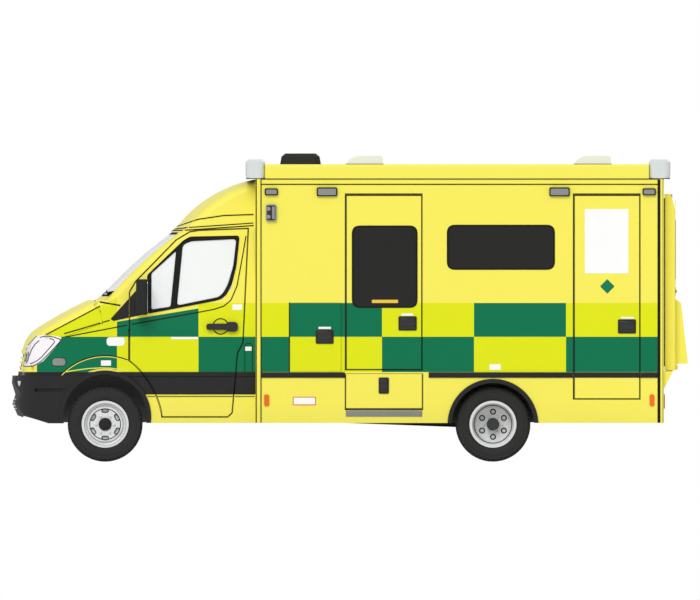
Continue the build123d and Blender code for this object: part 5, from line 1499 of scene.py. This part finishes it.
bm, bowls = bmesh.new(), bmesh.new()
for (y, z), radii in headlampSpec["units"]:
    for side in (1, -1):
        outer, inner = (arcPoints((side * y, z), radius, 0, 2 * math.pi, 32)[:-1] for radius in radii)
        skinShell(bm, outer, ["headlamps"], 0.003, 0.002, [inner], frontEnd, 0.03)
        skinShell(bowls, inner, ["headlamps"], 0.0015, 0.002, view=frontEnd, step=0.03)
addPiece("projectorRings", bm, glossBlack, "chassis")
addPiece("projectorBowls", bowls, lampGrey, "chassis")
print("nose trimmed")

# windscreen rubber and wipers, mirror glass
screenSpec = {
    "edge": [(0.855, 1.562), (0.770, 2.168), (-0.770, 2.168), (-0.855, 1.562)], "insets": (0.001, 0.020),
    "corners": (0.060, 0.048), "blade": 0.008, "arm": 0.010,
    "blades": ([(0.48, 1.592), (0.26, 1.610), (0.04, 1.622)],
               [(-0.04, 1.592), (-0.26, 1.610), (-0.48, 1.622)]),
    "arms": ([(0.08, 1.574), (0.26, 1.610)], [(-0.44, 1.574), (-0.26, 1.610)]),
    "mirror": (1.035, 1.195, 1.405, 1.710), "mirrorX": (1.9105, 1.9135),
}
outer, inner = (
    roundCorners(insetLoop(screenSpec["edge"], inset), corner, 6)
    for inset, corner in zip(screenSpec["insets"], screenSpec["corners"])
)
bm = bmesh.new()
skinShell(bm, outer, ["windscreen"], 0.003, 0.002, [inner], frontEnd, 0.06)
addPiece("windscreenRubber", bm, sealRubber, "chassis")
bm = bmesh.new()
for part, width, proud in (("blades", "blade", 0.004), ("arms", "arm", 0.006)):
    for points in screenSpec[part]:
        skinShell(bm, ribbon(points, screenSpec[width]), ["windscreen"], proud, 0, view=frontEnd, step=0.05)
addPiece("wipers", bm, mouldedBlack, "chassis")
mirrorSilver = plainFinish("mirrorSilver", linear(206, 212, 216), roughness=0.06, grain=0.0, metallic=1.0,
                           glossSpread=0.02)
for sideName, side in sides.items():
    low, high, foot, head = screenSpec["mirror"]
    bm = bmesh.new()
    flatPlate(bm, roundCorners(bar(*sorted((side * low, side * high)), foot, head), 0.03), 0,
              screenSpec["mirrorX"])
    addPiece(f"mirrorGlass_{sideName}", bm, mirrorSilver, f"{sideName}_cab_door")
print("screen trimmed")

# rear doors: window rubbers, edge beads, hinge straps, one handle, lamp lenses
rearSpec = {
    "window": (0.170, 0.765, 1.700, 2.280), "insets": (-0.004, 0.014), "corners": (0.080, 0.066),
    "beads": (((-3.070, -3.034), (0.0004, 0.0045), (0.866, 2.340)),
              ((-3.046, -3.020), (0.0004, 0.0045), (2.340, 2.526)),
              ((-3.050, -2.985), (0.010, 0.930), (0.8592, 0.8645))),
    "strap": ((-3.079, -3.074), (0.860, 0.925), (-0.030, 0.030)), "straps": 3, "strapFoot": 0.96,
    "strapStep": 0.74,
    "plate": ((-3.079, -3.074), (0.030, 0.135), (1.570, 1.650)),
    "lever": ((-3.088, -3.077), (0.044, 0.122), (1.596, 1.624)),
    "sill": ((-3.050, -2.975), (-0.930, 0.930), (0.853, 0.858)),
    "lenses": (("rearAmberLenses", 0.985, 1.052, lampAmber, "lamp_amber"),
               ("rearClearLenses", 0.905, 0.975, headlampGlass, "lamp_clear")),
    "lensHeight": (0.508, 0.632),
}
for sideName, side in sides.items():
    leaf, glass, body = f"rear_door_{sideName}", f"rear_door_{sideName}_glass", f"{sideName}_rear_door"
    low, high, foot, head = rearSpec["window"]
    loop = bar(*sorted((side * low, side * high)), foot, head)
    outer, inner = (
        roundCorners(insetLoop(loop, inset), corner, 6)
        for inset, corner in zip(rearSpec["insets"], rearSpec["corners"])
    )
    bm = bmesh.new()
    skinShell(bm, outer, [leaf, glass], 0.004, 0.004, [inner], rearEnd, flatStep, 0.0015)
    for xRange, yRange, zRange in rearSpec["beads"]:
        addBlock(bm, xRange, sorted(side * y for y in yRange), zRange)
    addPiece(f"rearDoorRubbers_{sideName}", bm, sealRubber, body)
    bm = bmesh.new()
    xRange, yRange, zRange = rearSpec["strap"]
    addBlock(bm, xRange, sorted(side * y for y in yRange), zRange, 0.002)
    straps = repeatShape(bm, yellowPaint, rearSpec["straps"], step=(0, 0, rearSpec["strapStep"]),
                         centre=(0, 0, rearSpec["strapFoot"]))
    addPiece(f"hingeStraps_{sideName}", straps, yellowPaint, body)
bm = bmesh.new()
addBlock(bm, *rearSpec["plate"], 0.002, 3)
addBlock(bm, *rearSpec["lever"], 0.004, 3)
addPiece("rearDoorHandle", bm, glossBlack, "left_rear_door")
bm = bmesh.new()
addBlock(bm, *rearSpec["sill"], 0.001)
addPiece("rearSillSeal", bm, sealRubber, "chassis")
for name, low, high, finish, slotName in rearSpec["lenses"]:
    rows = [
        (bar(*sorted((side * low, side * high)), *rearSpec["lensHeight"]), ["rear_lamps"], rearEnd)
        for side in (1, -1)
    ]
    trimPiece(name, rows, finish, "chassis", slotName, 0.0015, sink=0.001, step=flatStep)
print("rear trimmed")

# linings and handles on the insides of the doors
liningSpec = {
    "cab": [
        ([(2.02, 1.00), (2.02, 1.31), (1.90, 1.335), (1.24, 1.462), (1.07, 1.47), (1.08, 1.15),
          (1.125, 1.05), (1.17, 0.50), (1.74, 0.50), (1.84, 0.77)], 0.006, 0.003),
        (bar(1.20, 1.72, 1.010, 1.085), 0.045, 0.012),
        (bar(1.23, 1.66, 0.545, 0.700), 0.030, 0.006),
    ],
    "lever": bar(1.84, 1.96, 1.195, 1.225),
    "tread": bar(-0.665, 0.021, 0.515, 0.806), "treadX": (-0.655, 0.011), "treads": 9,
    "treadFoot": 0.530, "treadStep": 0.031, "treadWidth": 0.012,
    "rail": ((-0.585, -0.560), (1.000, 1.013), (1.000, 1.400)), "railFeet": (1.000, 1.372),
    "railFoot": 0.028, "railRoot": 1.0465,
    "corner": 0.03,
}
linings = [
    ("sideDoorLining", "side_door", "saloon_side_door", [bar(-0.625, -0.020, 0.925, 1.410)]),
    ("rearLockerLining", "rear_locker_door", "rear_locker",
     [bar(-2.685, -2.175, 0.650, 1.520), bar(-2.685, -2.175, 1.580, 2.470)]),
    ("frontLockerLining", "front_locker_door", "front_locker", [bar(0.135, 0.515, 0.900, 1.450)]),
]
for sideName, inward in (("left", leftInside), ("right", rightInside)):
    door, body = f"cab_door_{sideName}", f"{sideName}_cab_door"
    bm = bmesh.new()
    for outline, proud, edge in liningSpec["cab"]:
        skinShell(bm, roundCorners(outline, liningSpec["corner"]), [door], proud, 0.001, view=inward,
                  step=0.2, edge=edge)
    addPiece(f"doorLining_{sideName}", bm, dashPlastic, body)
    trimPiece(f"doorLever_{sideName}", [(roundCorners(liningSpec["lever"], 0.012), [door], inward)],
              wheelSilver, body, "dark_plastic", 0.018, step=0.2, edge=0.004)
liningWhite = plainFinish("liningWhite", linear(218, 221, 220), roughness=0.42, grain=0.1, grainSize=160)
for name, door, body, outlines in linings:
    rows = [(roundCorners(outline, liningSpec["corner"]), [door], leftInside) for outline in outlines]
    trimPiece(name, rows, liningWhite, body, "white_plastic", 0.005, step=flatStep, edge=0.002)
windowFrame("doorInnerRubber", windowSpec["door"], [(["side_door", "side_door_glass"], leftInside)],
            "saloon_side_door")
xRange, yRange, zRange = liningSpec["rail"]
bm = bmesh.new()
addBlock(bm, xRange, yRange, zRange, 0.006, 3)
for foot in liningSpec["railFeet"]:
    addBlock(bm, xRange, (yRange[0] + 0.002, liningSpec["railRoot"]), (foot, foot + liningSpec["railFoot"]),
             0.004)
addPiece("sideDoorRail", bm, wheelSilver, "saloon_side_door")
trimPiece("flapTread", [(roundCorners(liningSpec["tread"], 0.02), ["step_flap"], leftInside)], stepGrey,
          "step_well_flap", "dark_plastic", beadProud, step=flatStep, edge=0.001)
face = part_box("step_flap")[0].y
bm = bmesh.new()
addBlock(bm, liningSpec["treadX"], (face - 0.007, face - 0.002), (0, liningSpec["treadWidth"]), 0.002)
ribs = repeatShape(bm, stepGrey, liningSpec["treads"], step=(0, 0, liningSpec["treadStep"]),
                   centre=(0, 0, liningSpec["treadFoot"]))
addPiece("flapRibs", ribs, stepGrey, "step_well_flap")
print("doors lined")

# roof: dividers on the light bars, gaskets under bars and vents
roofSpec = {
    "divider": 0.008, "heights": (2.700, 2.832), "count": 9, "pitch": 0.218,
    "gaskets": (((0.801, 0.983), (-1.091, 1.091), (2.671, 2.679)),
                ((-3.026, -2.825), (-1.091, 1.091), (2.671, 2.679)),
                ((-0.319, 0.043), (-0.186, 0.186), (2.806, 2.815)),
                ((-2.474, -2.112), (-0.186, 0.186), (2.806, 2.815))),
}
dividers = bmesh.new()
for view in (frontEnd, rearEnd):
    bm = bmesh.new()
    half = roofSpec["divider"] / 2
    skinShell(bm, bar(-half, half, *roofSpec["heights"]), ["light_bars"], 0.002, 0.002, view=view,
              step=0.02)
    joinShape(dividers, repeatShape(bm, sealRubber, roofSpec["count"], step=(0, roofSpec["pitch"], 0),
                                    centre=(0, -roofSpec["pitch"] * (roofSpec["count"] - 1) / 2, 0)))
addPiece("lightBarDividers", dividers, sealRubber, "chassis")
bm = bmesh.new()
for block in roofSpec["gaskets"]:
    addBlock(bm, *block, 0.002)
addPiece("roofGaskets", bm, sealRubber, "chassis")
print("roof trimmed")


# wheel faces: drawn rings, pale backing behind the vents, dark rims round them
def stadium(length, width, height, steps=8):
    reach, radius = (length - width) / 2, width / 2
    return (arcPoints((reach, height), radius, -math.pi / 2, math.pi / 2, steps)
            + arcPoints((-reach, height), radius, math.pi / 2, 3 * math.pi / 2, steps))


faceSpec = {
    "front": {"rings": (0.1995, 0.1455), "vent": (0.072, 0.040, 0.128), "inner": (0.056, 0.024, 0.128),
              "face": 0.944},
    "rear": {"rings": (0.1785,), "vent": (0.058, 0.058, 0.119), "inner": (0.036, 0.036, 0.119),
             "face": 0.8245},
    "line": 0.008, "vents": 6,
    "backing": {"front": ((0.105, 0.0), (0.150, 0.0), (0.150, 0.003), (0.105, 0.003), (0.105, 0.0)),
                "frontY": 0.9265,
                "rear": ((0.0, 0.0), (0.0262, 0.0), (0.0262, 0.003), (0.0, 0.003)), "rearY": 0.8135},
}
for sideName, side in sides.items():
    for place, body, rim, axleX in (
        ("front", f"wheel_front_{sideName}", f"front_{sideName}_rim", wheelSpec["frontX"]),
        ("rear", f"wheels_rear_{sideName}", f"rear_{sideName}_rims", wheelSpec["rearX"]),
    ):
        spec, count, axleZ = faceSpec[place], faceSpec["vents"], wheelSpec["radius"]
        bm = bmesh.new()
        for radius in spec["rings"]:
            outer, inner = (
                arcPoints((axleX, axleZ), radius + grow, 0, 2 * math.pi, 56)[:-1]
                for grow in (faceSpec["line"] / 2, -faceSpec["line"] / 2)
            )
            skinShell(bm, outer, [rim], 0.001, 0.002, [inner], (1, side), 1)
        vent = bmesh.new()
        flatPlate(vent, stadium(*spec["vent"]), 1, (-side * 0.001, side * 0.0015),
                  [stadium(*spec["inner"])])
        turn = (0, 2 * math.pi / count, 0)
        joinShape(bm, repeatShape(vent, sealRubber, count, turn=turn,
                                  centre=(axleX, side * spec["face"], axleZ)))
        addPiece(f"{place}WheelLines_{sideName}", bm, sealRubber, body)
        backing = faceSpec["backing"]
        if place == "front":
            bm = latheShape(backing["front"], axleX, side * backing["frontY"], axleZ, side, 48)
        else:
            disc = latheShape(backing["rear"], 0, 0, spec["vent"][2], side, 20)
            bm = repeatShape(disc, wheelSilver, count, turn=turn,
                             centre=(axleX, side * backing["rearY"], axleZ))
        addPiece(f"{place}VentBacking_{sideName}", bm, wheelSilver, body)
print("wheel faces drawn")

# seats: moulded bases, and cushions that a short cloth run swells; one is made and the other copied
seatSpec = {
    "y": 0.42, "base": [(0.985, 0.702), (1.445, 0.702), (1.515, 0.885), (0.950, 0.885)], "baseHalf": 0.225,
    "forms": (
        ([(1.130, 0.908), (1.515, 0.898), (1.533, 1.008), (1.155, 0.996)], 0.230),
        ([(0.952, 0.925), (1.100, 0.925), (1.128, 1.030), (1.028, 1.585), (0.945, 1.585)], 0.222),
        ([(0.942, 1.640), (1.012, 1.640), (1.002, 1.772), (0.942, 1.772)], 0.120),
    ),
    "posts": ((0.966, 0.978), (0.050, 0.062), (1.570, 1.660)),
    "voxel": 0.016, "pressure": 4, "frames": 20, "cap": 0.016, "channel": 0.140, "channelWidth": 0.012,
    "channelDepth": 0.010,
    "channelZ": (0.93, 1.6), "cushionX": 1.14, "backZ": 1.03, "facing": 0.5,
}


def swollenPads(spec):
    bm = bmesh.new()
    for profile, half in spec["forms"]:
        flatPlate(bm, profile, 1, (-half, half))
    bmesh.ops.recalc_face_normals(bm, faces=bm.faces)
    mesh = bpy.data.meshes.new("padForm")
    bm.to_mesh(mesh)
    bm.free()
    pad = bpy.data.objects.new("padForm", mesh)
    scene.collection.objects.link(pad)

    def settle():
        return bpy.data.meshes.new_from_object(pad.evaluated_get(bpy.context.evaluated_depsgraph_get()))

    remesh = pad.modifiers.new("remesh", "REMESH")
    remesh.mode, remesh.voxel_size = "VOXEL", spec["voxel"]
    start = settle()
    pad.modifiers.clear()
    pad.data = start
    cloth = pad.modifiers.new("cloth", "CLOTH")
    cloth.settings.use_pressure = True
    cloth.settings.uniform_pressure_force = spec["pressure"]
    cloth.settings.effector_weights.gravity = 0
    cloth.point_cache.frame_end = spec["frames"]
    for number in range(1, spec["frames"] + 1):
        scene.frame_set(number)
    blown = settle()
    scene.frame_set(1)
    for vert, first in zip(blown.vertices, start.vertices):
        move = vert.co - first.co
        vert.co = first.co + move * min(1, spec["cap"] / max(move.length, 1e-6))
    pad.modifiers.clear()
    pad.data = blown
    finer = pad.modifiers.new("finer", "SUBSURF")
    finer.levels = finer.render_levels = 1
    result = bmesh.new()
    result.from_mesh(settle())
    bpy.data.objects.remove(pad)
    # sewn channels along the bolsters
    for vert in result.verts:
        off = (abs(vert.co.y) - spec["channel"]) / spec["channelWidth"]
        dent = spec["channelDepth"] * math.exp(-off * off)
        low, high = spec["channelZ"]
        if vert.co.z > high or vert.co.z < low:
            continue
        if vert.co.x > spec["cushionX"] and vert.normal.z > spec["facing"]:
            vert.co.z -= dent
        elif vert.co.z > spec["backZ"] and vert.normal.x > spec["facing"]:
            vert.co.x -= dent
    return result


pads = swollenPads(seatSpec)
bases = bmesh.new()
for sideName, side in sides.items():
    seat = pads.copy()
    for vert in seat.verts:
        vert.co.y += side * seatSpec["y"]
    addPiece(f"seatPads_{sideName}", seat, seatCloth, "chassis", 1.2)
    moulded = bmesh.new()
    flatPlate(moulded, seatSpec["base"], 1, (-seatSpec["baseHalf"], seatSpec["baseHalf"]))
    bmesh.ops.bevel(moulded, geom=[edge for edge in moulded.edges if edge.calc_face_angle(0) > 0.5],
                    offset=0.012, segments=3, profile=0.5, affect="EDGES")
    for post in (1, -1):
        xRange, yRange, zRange = seatSpec["posts"]
        addBlock(moulded, xRange, sorted(post * y for y in yRange), zRange, 0.003)
    for vert in moulded.verts:
        vert.co.y += side * seatSpec["y"]
    joinShape(bases, moulded)
pads.free()
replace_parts(addPiece("seatBases", bases, dashPlastic, "chassis"), "cab_seats")
print("seats padded")

# floor, edge on in the main view
floorMesh = bpy.data.meshes.new("studioFloor")
reach = studio["floorSize"]
corners = ((-reach, -reach), (reach, -reach), (reach, reach), (-reach, reach))
floorMesh.from_pydata([(x, y, studio["floorZ"]) for x, y in corners], [], [(0, 1, 2, 3)])
floor = bpy.data.objects.new("studioFloor", floorMesh)
floorFinish = plainFinish("studioFloorFinish", studio["floorColour"], roughness=0.8, grain=0.0, drift=0.01)
floorMesh.materials.append(floorFinish)
scene.collection.objects.link(floor)
